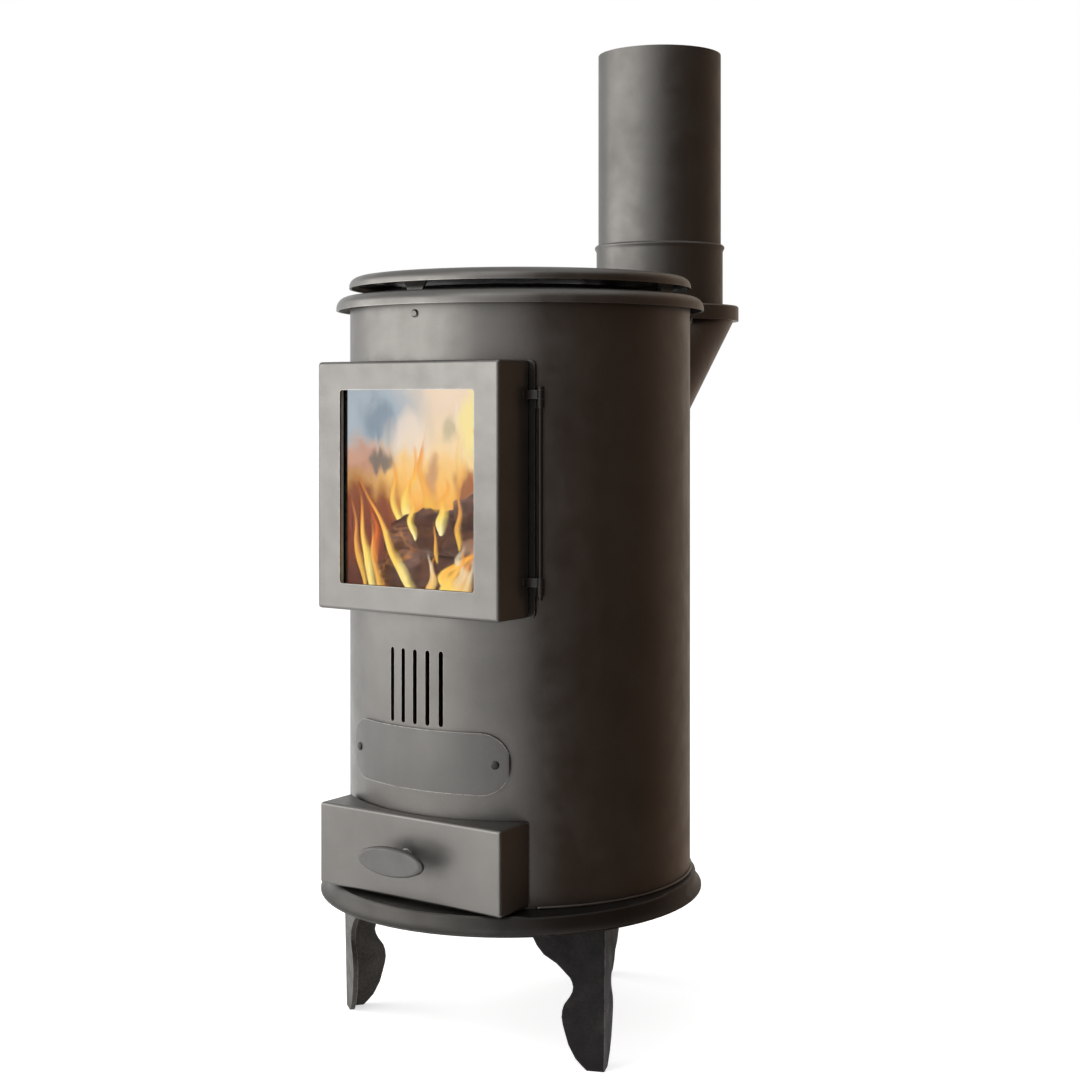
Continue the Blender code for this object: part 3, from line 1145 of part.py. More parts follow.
def build_flue():
    """Slanting outlet tube, its rimmed lid, the pipe collar with its bead, and the pipe."""
    outlet = flue_cylinder("flue_outlet", FLUE_TUBE_RADIUS, "stove_paint")
    bore_rings = flue_cylinder("flue_bore", FLUE_TUBE_RADIUS - FLUE_TUBE_WALL)
    lengthen_along_slant(bore_rings)
    cut(outlet, bore_rings)
    trim = turned("flue_trim", [(DRUM_RADIUS + SEAT_GAP, BASE_TOP, CAP_TOP + CUT_OVERRUN)], ROUND_STEPS)
    cut(outlet, trim)

    at_pipe = Matrix.Translation((0, PIPE_OFFSET, 0))
    sheet = FLUE_LID_SHEET
    rim = FLUE_LID_BOTTOM
    hole = PIPE_RADIUS - PIPE_WALL
    profile = [(hole, FLUE_LID_TOP), (FLUE_LID_RADIUS - sheet / 2, FLUE_LID_TOP),
               (FLUE_LID_RADIUS, FLUE_LID_TOP - sheet / 2), (FLUE_LID_RADIUS, rim),
               (FLUE_LID_RADIUS - FLUE_LID_SEAT, rim), (FLUE_LID_RADIUS - FLUE_LID_SEAT, rim + sheet),
               (FLUE_LID_RADIUS - sheet, rim + sheet), (FLUE_LID_RADIUS - sheet, FLUE_LID_TOP - sheet),
               (hole, FLUE_LID_TOP - sheet)]
    revolve("flue_lid", profile, ROUND_STEPS // 2, "stove_paint", axis_matrix=at_pipe)

    bore = FLUE_COLLAR_BORE
    outside = bore + FLUE_COLLAR_WALL
    bead_low = FLUE_COLLAR_TOP - BEAD_HEIGHT
    bead = outside + BEAD_DEPTH
    profile = [(bore, FLUE_COLLAR_BOTTOM), (outside, FLUE_COLLAR_BOTTOM), (outside, bead_low - BEAD_HEIGHT / 3),
               (bead, bead_low + BEAD_HEIGHT / 3), (bead, FLUE_COLLAR_TOP - BEAD_HEIGHT / 3),
               (outside, FLUE_COLLAR_TOP), (bore, FLUE_COLLAR_TOP)]
    revolve("flue_collar", profile, ROUND_STEPS // 2, "stove_paint", axis_matrix=at_pipe)
    tube("flue_pipe", PIPE_RADIUS - PIPE_WALL, PIPE_RADIUS, PIPE_BOTTOM, PIPE_BOTTOM + PIPE_LENGTH,
         ROUND_STEPS // 2, "stove_paint", at_pipe)


def lengthen_along_slant(cutter):
    """Carry a slanting cutter past both ends of the tube that it bores."""
    slant = Vector((0, 1, 1)) * CUT_OVERRUN
    middle = FLUE_TUBE_TOP - FLUE_TUBE_DEPTH / 2
    for vert in cutter.data.vertices:
        vert.co = vert.co + (slant if vert.co.z > middle else -slant)


def settle():
    """Move the finished stove so that the origin is below the middle of its box."""
    for item in bpy.data.objects:
        if not item.parent:
            item.location.y += FRAME_SHIFT


def main():
    clear_scene()
    build_base_pan()
    for side in LEG_AZIMUTHS_DEGREES:
        build_leg(side)
    build_drum()
    build_cap()
    build_disc()
    build_door_neck()
    build_side_plates()
    build_hinge_rod()
    build_drawer_collar()
    build_runners()
    build_name_plate()
    build_grate()
    build_bricks()
    build_baffle()
    build_flue()

    door_axis = make_axis("door_axis", (HINGE_X, HINGE_Y, WINDOW_MIDDLE))
    latch_axis = make_axis("latch_axis", (LATCH_INNER_FACE, LATCH_Y, LATCH_Z), door_axis)
    drawer_axis = make_axis("drawer_axis", (0, DRAWER_FRONT, KNOB_Z))
    build_door(door_axis)
    for level_name in KNUCKLE_LEVELS:
        build_hinge_leaf(level_name, door_axis)
    build_latch(door_axis, latch_axis)
    build_drawer(drawer_axis)
    settle()


main()
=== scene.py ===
"""Looks of the drum wood stove: paint, castings, glass, fire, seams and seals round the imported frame."""
import json
import math

import bmesh
import bpy
from mathutils import Matrix, Vector, noise

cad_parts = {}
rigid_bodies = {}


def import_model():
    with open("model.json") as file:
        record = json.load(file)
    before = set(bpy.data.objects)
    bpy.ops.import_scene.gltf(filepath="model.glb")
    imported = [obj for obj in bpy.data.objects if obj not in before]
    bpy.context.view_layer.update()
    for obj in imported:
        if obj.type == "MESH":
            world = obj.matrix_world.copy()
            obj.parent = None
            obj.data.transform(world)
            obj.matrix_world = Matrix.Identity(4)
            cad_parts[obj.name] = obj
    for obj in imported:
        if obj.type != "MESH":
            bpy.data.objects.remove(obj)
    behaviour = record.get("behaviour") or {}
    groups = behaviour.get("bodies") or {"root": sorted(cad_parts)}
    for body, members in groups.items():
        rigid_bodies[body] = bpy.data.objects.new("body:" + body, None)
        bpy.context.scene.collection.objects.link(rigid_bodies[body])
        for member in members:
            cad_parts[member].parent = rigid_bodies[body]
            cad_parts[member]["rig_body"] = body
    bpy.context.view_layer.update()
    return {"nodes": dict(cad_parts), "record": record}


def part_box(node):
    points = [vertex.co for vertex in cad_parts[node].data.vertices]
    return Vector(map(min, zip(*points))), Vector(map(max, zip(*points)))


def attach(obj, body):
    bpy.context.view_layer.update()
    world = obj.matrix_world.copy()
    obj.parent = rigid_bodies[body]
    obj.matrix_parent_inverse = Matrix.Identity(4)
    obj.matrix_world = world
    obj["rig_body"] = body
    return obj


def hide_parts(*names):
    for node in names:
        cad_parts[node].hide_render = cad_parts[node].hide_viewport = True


# The bow of the logs comes from noise_vector, whose offsets are drawn from this seed
noise.seed_set(4)

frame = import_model()
NODES = frame["nodes"]

# Places read from the frame
drum_low, drum_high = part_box("drum_shell")
DRUM_RADIUS = (drum_high.x - drum_low.x) / 2
AXIS_Y = (drum_low.y + drum_high.y) / 2
BASE_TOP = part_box("base_pan")[1].z
GRATE_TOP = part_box("grate")[1].z
GLASS_LOW, GLASS_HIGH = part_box("door_glass")
GLASS_MIDDLE = (GLASS_LOW.x + GLASS_HIGH.x) / 2

# What the window shows from the front right: its width, foot and height, and how these shift with depth
WINDOW_WIDTH = 0.172
WINDOW_FOOT = 0.481
WINDOW_HEIGHT = 0.200
SHIFT_LEFT_WITH_DEPTH = 0.70
DROP_WITH_DEPTH = 0.13
GROWTH_WITH_DEPTH = 0.10

# Fire, ash and seams
NECK_FLOOR = 0.466
NECK_BACK = -0.140
GAS_TOP = 0.695
GAS_RADIUS = 0.155
GAS_NECK = ((-0.1030, -0.1860), (-0.1034, -0.1440), (-0.1165, -0.1320))
GAS_AZIMUTHS = range(-52, -204, -19)
GAS_TO_BAFFLE = 0.009
EMBER_RADIUS = 0.14
WELD_LIFT = 0.0008
WELD_RIPPLE = 0.0042
ROPE_CORNER = 0.012
ROPE_HALF_WIDTH = 0.004
ROPE_POINT_SPACING = 0.0024
ROPE_LAY = 0.017
ROPE_STRANDS = 4
ASH_INSET = 0.0022
ASH_BEHIND_FRONT = 0.012
ASH_ABOVE_TRAY = 0.0018
ASH_DEPTH = 0.012


# Node graph helpers
class Graph:
    """A material's node tree, built call by call."""

    def __init__(self, name):
        self.material = bpy.data.materials.new(name)
        self.material.use_nodes = True
        self.tree = self.material.node_tree
        self.tree.nodes.clear()
        self.output = self.tree.nodes.new("ShaderNodeOutputMaterial")

    def node(self, kind, settings=None, **inputs):
        made = self.tree.nodes.new(kind)
        for key, value in (settings or {}).items():
            setattr(made, key, value)
        for key, value in inputs.items():
            self.feed(made, key.replace("_", " "), value)
        return made

    def feed(self, made, key, value):
        socket = made.inputs[int(key)] if key.isdigit() else made.inputs[key]
        if isinstance(value, bpy.types.NodeSocket):
            self.tree.links.new(value, socket)
        else:
            socket.default_value = value

    def coordinates(self, scale=(1, 1, 1)):
        """Object coordinates, which are metres in the row frame, stretched by scale."""
        place = self.node("ShaderNodeTexCoord").outputs["Object"]
        return self.node("ShaderNodeMapping", Vector=place, Scale=scale).outputs["Vector"]

    def noise(self, scale, detail=3.0, rough=0.55, stretch=(1, 1, 1), distortion=0.0):
        made = self.node("ShaderNodeTexNoise", Vector=self.coordinates(stretch), Scale=scale, Detail=detail,
                         Roughness=rough, Distortion=distortion)
        return made.outputs["Fac"]

    def ramp(self, value, stops, smooth=False):
        made = self.node("ShaderNodeValToRGB", Fac=value)
        ramp = made.color_ramp
        ramp.interpolation = "EASE" if smooth else "LINEAR"
        while len(ramp.elements) < len(stops):
            ramp.elements.new(0.5)
        for element, (place, colour) in zip(ramp.elements, stops):
            element.position = place
            element.color = (*colour, 1) if isinstance(colour, tuple) else (colour, colour, colour, 1)
        return made.outputs["Color"]

    def span(self, value, low, high, to_low, to_high):
        made = self.node("ShaderNodeMapRange")
        for index, item in enumerate((value, low, high, to_low, to_high)):
            self.feed(made, str(index), item)
        return made.outputs["Result"]

    def math(self, operation, first, second=0.0):
        made = self.node("ShaderNodeMath", {"operation": operation})
        self.feed(made, "0", first)
        self.feed(made, "1", second)
        return made.outputs["Value"]

    def vector(self, operation, *items):
        made = self.node("ShaderNodeVectorMath", {"operation": operation})
        for index, item in enumerate(items):
            self.feed(made, str(index), item)
        return made.outputs["Value" if operation in ("LENGTH", "DOT_PRODUCT") else "Vector"]

    def blend(self, share, first, second):
        """Shader between two shaders."""
        made = self.node("ShaderNodeMixShader")
        for index, item in enumerate((share, first.outputs[0], second.outputs[0])):
            self.feed(made, str(index), item)
        return made

    def finish(self, shader):
        self.tree.links.new(shader.outputs[0], self.output.inputs["Surface"])
        return self.material

    def mix(self, share, first, second):
        """Colour between two colours."""
        made = self.node("ShaderNodeMix", {"data_type": "RGBA"})
        self.feed(made, "0", share)
        self.feed(made, "6", first if isinstance(first, bpy.types.NodeSocket) else (*first, 1))
        self.feed(made, "7", second if isinstance(second, bpy.types.NodeSocket) else (*second, 1))
        return made.outputs["Result"]

    def bump(self, height, strength, distance, normal=None):
        made = self.node("ShaderNodeBump", Height=height, Strength=strength, Distance=distance)
        if normal:
            self.feed(made, "Normal", normal)
        return made.outputs["Normal"]

    def surface(self, colour, metallic, roughness, normal=None, **more):
        shader = self.node("ShaderNodeBsdfPrincipled")
        self.feed(shader, "Base Color", colour if isinstance(colour, bpy.types.NodeSocket) else (*colour, 1))
        self.feed(shader, "Metallic", metallic)
        self.feed(shader, "Roughness", roughness)
        if normal:
            self.feed(shader, "Normal", normal)
        for key, value in more.items():
            self.feed(shader, key.replace("_", " "), value)
        return self.finish(shader)


def shade(colour, factor):
    """A colour made lighter or darker."""
    return tuple(channel * factor for channel in colour)


def add_object(name, data):
    """New object in the scene."""
    made = bpy.data.objects.new(name, data)
    bpy.context.scene.collection.objects.link(made)
    return made


def to_mesh(name, bm):
    """Mesh of a built shape, which is freed."""
    mesh = bpy.data.meshes.new(name)
    bm.to_mesh(mesh)
    bm.free()
    return mesh


# Materials
def edge_wear(graph, radius, low, high):
    """Mask of convex edges, from how far the rounded normal leans away from the true one."""
    rounded = graph.node("ShaderNodeBevel", {"samples": 4}, Radius=radius).outputs["Normal"]
    true = graph.node("ShaderNodeNewGeometry").outputs["Normal"]
    away = graph.math("SUBTRACT", 1.0, graph.vector("DOT_PRODUCT", rounded, true))
    broken = graph.math("MULTIPLY", away, graph.span(graph.noise(180, 4), 0.35, 0.65, 0.2, 1.6))
    return graph.span(broken, low, high, 0.0, 1.0)


def heat_paint(name, colour, roughness=0.40, grain=0.05, worn=0.5):
    """Graphite heat-proof paint on rolled sheet: fine grain, faint rolling streaks, rubbed edges."""
    graph = Graph(name)
    cloud = graph.noise(9, 4)
    streak = graph.noise(26, 3, stretch=(1, 1, 0.08))
    tone = graph.ramp(cloud, ((0.30, shade(colour, 0.86)), (0.55, colour), (0.75, shade(colour, 1.10))))
    tone = graph.mix(graph.span(streak, 0.42, 0.70, 0.0, 0.22), tone, shade(colour, 0.78))
    speck = graph.span(graph.noise(900, 2), 0.63, 0.72, 0.0, 0.35)
    tone = graph.mix(speck, tone, shade(colour, 1.6))
    rubbed = graph.math("MULTIPLY", edge_wear(graph, 0.0016, 0.03, 0.22), worn)
    tone = graph.mix(rubbed, tone, (0.34, 0.33, 0.32))
    gloss = graph.span(graph.noise(38, 4), 0.3, 0.7, roughness - 0.05, roughness + 0.07)
    fine = graph.noise(1500, 2)
    broad = graph.noise(70, 3)
    normal = graph.bump(broad, 0.10, 0.0008)
    normal = graph.bump(fine, grain, 0.0004, normal)
    return graph.surface(tone, 0.97, gloss, normal)


def cast_iron(name, colour, roughness=0.55):
    """Sand-cast iron, blacked: coarse skin, brown bloom in places, brighter rubbed arrises."""
    graph = Graph(name)
    skin = graph.noise(420, 4, 0.65)
    pits = graph.node("ShaderNodeTexVoronoi", Vector=graph.coordinates(), Scale=520.0).outputs["Distance"]
    bloom = graph.span(graph.noise(24, 5, 0.6), 0.52, 0.75, 0.0, 0.40)
    tone = graph.ramp(skin, ((0.3, shade(colour, 0.7)), (0.7, shade(colour, 1.25))))
    tone = graph.mix(bloom, tone, (0.066, 0.052, 0.043))
    rubbed = graph.math("MULTIPLY", edge_wear(graph, 0.0016, 0.04, 0.25), 0.6)
    tone = graph.mix(rubbed, tone, (0.30, 0.29, 0.28))
    gloss = graph.span(graph.noise(60, 3), 0.3, 0.7, roughness - 0.08, roughness + 0.12)
    normal = graph.bump(skin, 0.35, 0.0010)
    normal = graph.bump(pits, 0.20, 0.0006, normal)
    return graph.surface(tone, 0.75, gloss, normal)


def turned_steel(name, colour=(0.42, 0.41, 0.40), roughness=0.34):
    """Plain turned or drawn steel with fine tool lines and a little tarnish."""
    graph = Graph(name)
    lines = graph.noise(1400, 2, stretch=(1, 1, 6))
    tarnish = graph.span(graph.noise(90, 4), 0.45, 0.72, 0.0, 0.6)
    tone = graph.mix(tarnish, colour, (0.16, 0.13, 0.11))
    gloss = graph.span(graph.noise(120, 3), 0.3, 0.7, roughness - 0.08, roughness + 0.14)
    return graph.surface(tone, 1.0, gloss, graph.bump(lines, 0.18, 0.0003))


def tray_sheet(name):
    """Thin bare sheet, greyed by ash and blued by heat."""
    graph = Graph(name)
    dust = graph.span(graph.noise(30, 5), 0.45, 0.7, 0.0, 0.7)
    blue = graph.span(graph.noise(7, 2), 0.4, 0.65, 0.0, 0.5)
    tone = graph.mix(blue, (0.26, 0.25, 0.24), (0.13, 0.14, 0.18))
    tone = graph.mix(dust, tone, (0.42, 0.40, 0.38))
    gloss = graph.span(graph.noise(140, 4), 0.3, 0.7, 0.35, 0.65)
    return graph.surface(tone, 0.8, gloss, graph.bump(graph.noise(300, 3), 0.15, 0.0006))


def fire_clay(name):
    """Porous fire brick, sooted in patches, and pale where the fire has burnt it clean."""
    graph = Graph(name)
    grain = graph.noise(260, 5, 0.7)
    soot = graph.span(graph.noise(14, 4), 0.42, 0.66, 0.0, 0.75)
    crack = graph.node("ShaderNodeTexVoronoi", {"feature": "DISTANCE_TO_EDGE"},
                       Vector=graph.coordinates(), Scale=17.0).outputs["Distance"]
    line = graph.span(crack, 0.0, 0.012, 1.0, 0.0)
    tone = graph.ramp(grain, ((0.3, (0.42, 0.29, 0.18)), (0.7, (0.66, 0.52, 0.36))))
    tone = graph.mix(soot, tone, (0.045, 0.038, 0.034))
    tone = graph.mix(line, tone, (0.03, 0.025, 0.02))
    normal = graph.bump(grain, 0.6, 0.0015)
    normal = graph.bump(line, -0.6, 0.0015, normal)
    return graph.surface(tone, 0.0, 0.92, normal)


def stove_glass(name):
    """Clear ceramic glass with a little smoke haze that gathers at the rim."""
    graph = Graph(name)
    clear = graph.node("ShaderNodeBsdfTransparent", Color=(0.97, 0.98, 0.97, 1.0))
    gloss = graph.node("ShaderNodeBsdfAnisotropic", Color=(0.9, 0.92, 0.95, 1.0), Roughness=0.06)
    haze = graph.node("ShaderNodeBsdfDiffuse", Color=(0.10, 0.09, 0.08, 1.0))
    inner_face = graph.node("ShaderNodeNewGeometry").outputs["Backfacing"]
    outer_share = graph.span(inner_face, 0.0, 1.0, 0.12, 0.0)
    fresnel = graph.math("MULTIPLY", graph.node("ShaderNodeFresnel", IOR=1.5).outputs["Fac"], outer_share)
    shine = graph.blend(fresnel, clear, gloss)
    return graph.finish(graph.blend(graph.span(graph.noise(22, 4), 0.5, 0.8, 0.0, 0.06), shine, haze))


def woven_seal(name, colour):
    """Glass-fibre rope or tape: fine diagonal yarns with a dry sheen."""
    graph = Graph(name)
    weave = graph.node("ShaderNodeTexWave", {"bands_direction": "DIAGONAL"}, Vector=graph.coordinates(),
                       Scale=260.0, Distortion=1.5, Detail=2.0).outputs["Fac"]
    tone = graph.ramp(weave, ((0.2, shade(colour, 0.55)), (0.8, shade(colour, 1.15))))
    tone = graph.mix(graph.span(graph.noise(60, 4), 0.5, 0.8, 0.0, 0.6), tone, (0.05, 0.045, 0.04))
    return graph.surface(tone, 0.0, 0.95, graph.bump(weave, 0.5, 0.0008), Sheen_Weight=0.25)


def charred_wood(name):
    """Burnt logs: black and brown bark, ash-grey in places, with a few glowing splits and a faint warm glow
    over all the bark that is painted firelight.
    """
    graph = Graph(name)
    cells = graph.node("ShaderNodeTexVoronoi", {"feature": "DISTANCE_TO_EDGE"},
                       Vector=graph.coordinates((0.45, 1, 1.3)), Scale=150.0, Randomness=0.95)
    crack = graph.span(cells.outputs["Distance"], 0.0, 0.09, 1.0, 0.0)
    hot = graph.math("MULTIPLY", crack, graph.span(graph.noise(26, 4), 0.50, 0.66, 0.0, 1.0))
    bark = graph.ramp(graph.noise(110, 5, 0.65, stretch=(0.4, 1, 1)),
                      ((0.3, (0.045, 0.018, 0.013)), (0.72, (0.20, 0.085, 0.060))))
    grey = graph.span(graph.noise(20, 5, 0.6), 0.44, 0.60, 0.0, 0.75)
    tone = graph.mix(grey, bark, (0.40, 0.27, 0.245))
    tone = graph.mix(graph.math("MULTIPLY", crack, 0.7), tone, (0.03, 0.014, 0.012))
    # Outside the hot splits the bark still glows faintly in a warm tint: painted firelight from the flames
    glow = graph.mix(hot, graph.mix(0.5, tone, (0.16, 0.055, 0.04)), (1.0, 0.40, 0.09))
    strength = graph.span(hot, 0.0, 1.0, 0.16, 1.1)
    return graph.surface(tone, 0.0, 0.9, graph.bump(crack, -0.5, 0.003), Emission_Color=glow,
                         Emission_Strength=strength)


def ember_bed(name):
    """Grey embers that glow in the gaps between them."""
    graph = Graph(name)
    lumps = graph.node("ShaderNodeTexVoronoi", {"feature": "DISTANCE_TO_EDGE"}, Vector=graph.coordinates(),
                       Scale=75.0).outputs["Distance"]
    hot = graph.span(lumps, 0.0, 0.35, 1.0, 0.0)
    hot = graph.math("MULTIPLY", hot, graph.span(graph.noise(22, 4), 0.35, 0.6, 0.2, 1.0))
    tone = graph.ramp(graph.noise(200, 4), ((0.3, (0.05, 0.045, 0.045)), (0.8, (0.42, 0.39, 0.37))))
    glow = graph.ramp(hot, ((0.0, (0.20, 0.04, 0.02)), (0.5, (0.95, 0.32, 0.06)), (1.0, (1.0, 0.75, 0.28))))
    return graph.surface(tone, 0.0, 0.95, graph.bump(hot, -0.6, 0.004), Emission_Color=glow,
                         Emission_Strength=graph.span(hot, 0.1, 0.9, 0.15, 1.5))


def ash(name):
    """Pale wood ash with crumbs of charcoal."""
    graph = Graph(name)
    grain = graph.noise(320, 5, 0.7)
    tone = graph.ramp(grain, ((0.25, (0.26, 0.25, 0.24)), (0.75, (0.62, 0.60, 0.58))))
    tone = graph.mix(graph.span(graph.noise(140, 3), 0.62, 0.70, 0.0, 0.9), tone, (0.03, 0.03, 0.03))
    return graph.surface(tone, 0.0, 0.97, graph.bump(grain, 0.6, 0.002))


def flame(name, stops, strength, body=1.0):
    """Burning gas on a leaf of flame: coloured along its length, thin at its rim and its tip."""
    graph = Graph(name)
    flow = graph.node("ShaderNodeSeparateXYZ", Vector=graph.node("ShaderNodeTexCoord").outputs["UV"])
    wisp = graph.span(graph.noise(55, 4, 0.6, stretch=(1, 1, 0.4)), 0.25, 0.75, -0.18, 0.18)
    along = graph.math("ADD", flow.outputs["Y"], wisp)
    light = graph.node("ShaderNodeEmission", Color=graph.ramp(along, stops), Strength=strength)
    clear = graph.node("ShaderNodeBsdfTransparent")
    off = graph.math("ABSOLUTE", graph.span(flow.outputs["X"], 0.0, 1.0, -1.0, 1.0))
    rim = graph.span(graph.math("ADD", off, wisp), 0.30, 0.95, body, 0.0)
    tip = graph.span(along, 0.62, 0.95, 1.0, 0.0)
    return graph.finish(graph.blend(graph.math("MULTIPLY", rim, tip), clear, light))


PAINT = heat_paint("graphite_heat_paint", (0.118, 0.113, 0.106))
# Lighter copy of the graphite paint for the door and drawer fronts: painted light, as these flat fronts face
# the key lamp
PAINT_DOOR_LIT = heat_paint("graphite_heat_paint_lit_copy", (0.132, 0.127, 0.120), roughness=0.42, worn=0.8)
# Darker copy of the graphite paint for the flue pipe and collar: painted shade
PAINT_PIPE_SHADED = heat_paint("graphite_pipe_paint_shaded_copy", (0.106, 0.102, 0.096), roughness=0.46)
PAINT_PLATE = heat_paint("graphite_plate_paint", (0.096, 0.093, 0.089), roughness=0.37, grain=0.10, worn=1.0)
# Near-black copy of the graphite paint: painted shade on the base pan and the knob stem; the plate screws and
# the hinge parts take it too
PAINT_DARK_AND_SHADE = heat_paint("graphite_dark_paint_and_painted_shade", (0.042, 0.040, 0.037), roughness=0.47, worn=0.2)
KNOB = heat_paint("matt_knob_paint", (0.117, 0.114, 0.110), roughness=0.62, worn=0.3)
# Near-black sooted iron for the door neck and glass retainer: soot, and painted shade on the reveal round the
# window
SOOT_AND_SHADE = cast_iron("sooted_sheet_and_painted_shade", (0.012, 0.011, 0.010), 0.8)
IRON = cast_iron("blacked_cast_iron", (0.013, 0.012, 0.012), 0.66)
# Lighter brown copy of the cast iron for the left leg: painted light on the leg that faces the key lamp
IRON_LIT = cast_iron("cast_iron_lit_copy", (0.054, 0.049, 0.044), 0.55)
STEEL = turned_steel("turned_steel")
TRAY = tray_sheet("ash_tray_sheet")
CLAY = fire_clay("fire_clay")
GLASS = stove_glass("stove_glass")
SEAL = woven_seal("glass_fibre_seal", (0.34, 0.33, 0.31))
CHAR = charred_wood("charred_wood")
EMBER = ember_bed("ember_bed")
ASH = ash("wood_ash")
FLAME_YELLOW = flame("flame_yellow", (
    (0.0, (1.0, 0.86, 0.42)), (0.30, (1.0, 0.72, 0.16)), (0.62, (0.98, 0.42, 0.06)),
    (1.0, (0.80, 0.20, 0.04)),
), 1.05)
FLAME_AMBER = flame("flame_amber", (
    (0.0, (1.0, 0.62, 0.10)), (0.40, (1.0, 0.48, 0.09)), (0.8, (0.90, 0.30, 0.07)), (1.0, (0.75, 0.24, 0.08)),
), 0.95, 0.9)
FLAME_RED = flame("flame_red", (
    (0.0, (0.98, 0.30, 0.05)), (0.40, (0.95, 0.20, 0.03)), (1.0, (0.55, 0.08, 0.02)),
), 0.95, 0.8)
FLAME_CREAM = flame("flame_cream", (
    (0.0, (0.98, 0.46, 0.10)), (0.35, (1.0, 0.64, 0.24)), (0.65, (1.0, 0.80, 0.52)), (1.0, (1.0, 0.88, 0.72)),
), 0.95, 0.85)

SLOT_MATERIALS = {
    "stove_paint": PAINT, "cast_iron": IRON, "plain_steel": STEEL, "fire_brick": CLAY,
    "glass": GLASS, "seal_fibre": SEAL, "tray_steel": TRAY,
}
NODE_MATERIALS = {
    # door_panel and drawer_front: lighter paint, painted light
    "door_panel": PAINT_DOOR_LIT, "drawer_front": PAINT_DOOR_LIT,
    # flue_pipe and flue_collar: darker paint, painted shade
    "flue_pipe": PAINT_PIPE_SHADED, "flue_collar": PAINT_PIPE_SHADED,
    "name_plate": PAINT_PLATE, "cap_rivet_1": PAINT_PLATE, "cap_rivet_2": PAINT_PLATE,
    "cap_rivet_3": PAINT_PLATE,
    # base_pan and knob_stem: near-black paint, painted shade
    "plate_screw_1": PAINT_DARK_AND_SHADE, "plate_screw_2": PAINT_DARK_AND_SHADE, "base_pan": PAINT_DARK_AND_SHADE, "knob_stem": PAINT_DARK_AND_SHADE,
    "hinge_rod": PAINT_DARK_AND_SHADE, "hinge_plate": PAINT_DARK_AND_SHADE, "hinge_leaf_upper": PAINT_DARK_AND_SHADE,
    "hinge_leaf_lower": PAINT_DARK_AND_SHADE,
    # door_neck and glass_retainer: near-black iron, soot and painted shade; leg_left: lighter brown iron,
    # painted light
    "oval_knob": KNOB, "leg_left": IRON_LIT, "door_neck": SOOT_AND_SHADE, "glass_retainer": SOOT_AND_SHADE,
}


def dress_frame():
    """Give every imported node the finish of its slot, or its own."""
    for entry in frame["record"]["subparts"]:
        node = NODES[entry["node"]]
        material = NODE_MATERIALS.get(entry["node"], SLOT_MATERIALS[entry["material_slot"]])
        for slot in node.material_slots:
            slot.material = material


# Round walls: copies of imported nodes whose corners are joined, so that they shade as one surface
ROUND_WALLS = ("drum_shell", "flue_pipe")
SMOOTH_SHAPES = ("base_pan", "top_cap", "top_disc", "flue_collar", "flue_lid", "flue_outlet", "name_plate",
                 "door_panel", "drawer_front", "oval_knob", "knob_stem", "hinge_rod", "leg_left", "leg_right",
                 "leg_rear", "latch_knob", "hinge_plate", "hinge_leaf_upper", "hinge_leaf_lower",
                 "latch_lever")


def joined(node_name):
    """The node's own shape with its split corners joined and its flat faces whole."""
    bm = bmesh.new()
    bm.from_mesh(NODES[node_name].data)
    bmesh.ops.remove_doubles(bm, verts=bm.verts, dist=0.00002)
    bmesh.ops.dissolve_limit(bm, angle_limit=math.radians(0.5), verts=bm.verts, edges=bm.edges)
    return bm


def stand_in(node_name, mesh):
    """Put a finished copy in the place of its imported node."""
    entry = next(part for part in frame["record"]["subparts"] if part["node"] == node_name)
    piece = add_object(node_name + "_finished", mesh)
    mesh.materials.clear()
    mesh.materials.append(NODE_MATERIALS.get(node_name, SLOT_MATERIALS[entry["material_slot"]]))
    for polygon in mesh.polygons:
        polygon.material_index = 0
    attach(piece, NODES[node_name]["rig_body"])
    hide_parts(node_name)
    return piece


def build_smooth_shapes():
    """Cast, pressed and turned pieces with soft shading."""
    for node_name in SMOOTH_SHAPES:
        mesh = to_mesh(node_name, joined(node_name))
        piece = stand_in(node_name, mesh)
        mesh.shade_smooth()
        mesh.set_sharp_from_angle(angle=math.radians(34))
        weighted = piece.modifiers.new("weighted", "WEIGHTED_NORMAL")
        weighted.keep_sharp = True


def build_round_walls():
    """Rolled sheet: every outer and inner facet takes the normals of the true cylinder."""
    for node_name in ROUND_WALLS:
        low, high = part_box(node_name)
        centre = Vector(((low.x + high.x) / 2, (low.y + high.y) / 2, 0))
        mesh = to_mesh(node_name, joined(node_name))
        piece = stand_in(node_name, mesh)
        mesh.shade_smooth()
        normals = []
        for polygon in mesh.polygons:
            middle = polygon.center - centre
            outward = Vector((middle.x, middle.y, 0)).normalized()
            lean = polygon.normal.dot(outward)
            for index in polygon.vertices:
                spot = mesh.vertices[index].co - centre
                radial = Vector((spot.x, spot.y, 0)).normalized()
                curved = abs(lean) > 0.985 and abs(polygon.normal.z) < 0.02
                normals.append(radial * math.copysign(1, lean) if curved else polygon.normal.copy())
        mesh.normals_split_custom_set(normals)


# Shapes
def place(name, bm, material, body, slot):
    """Turn a built shape into a piece that rides on a body."""
    bmesh.ops.recalc_face_normals(bm, faces=bm.faces)
    mesh = to_mesh(name, bm)
    piece = add_object(name, mesh)
    mesh.materials.append(material)
    mesh.shade_smooth()
    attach(piece, body)
    return piece


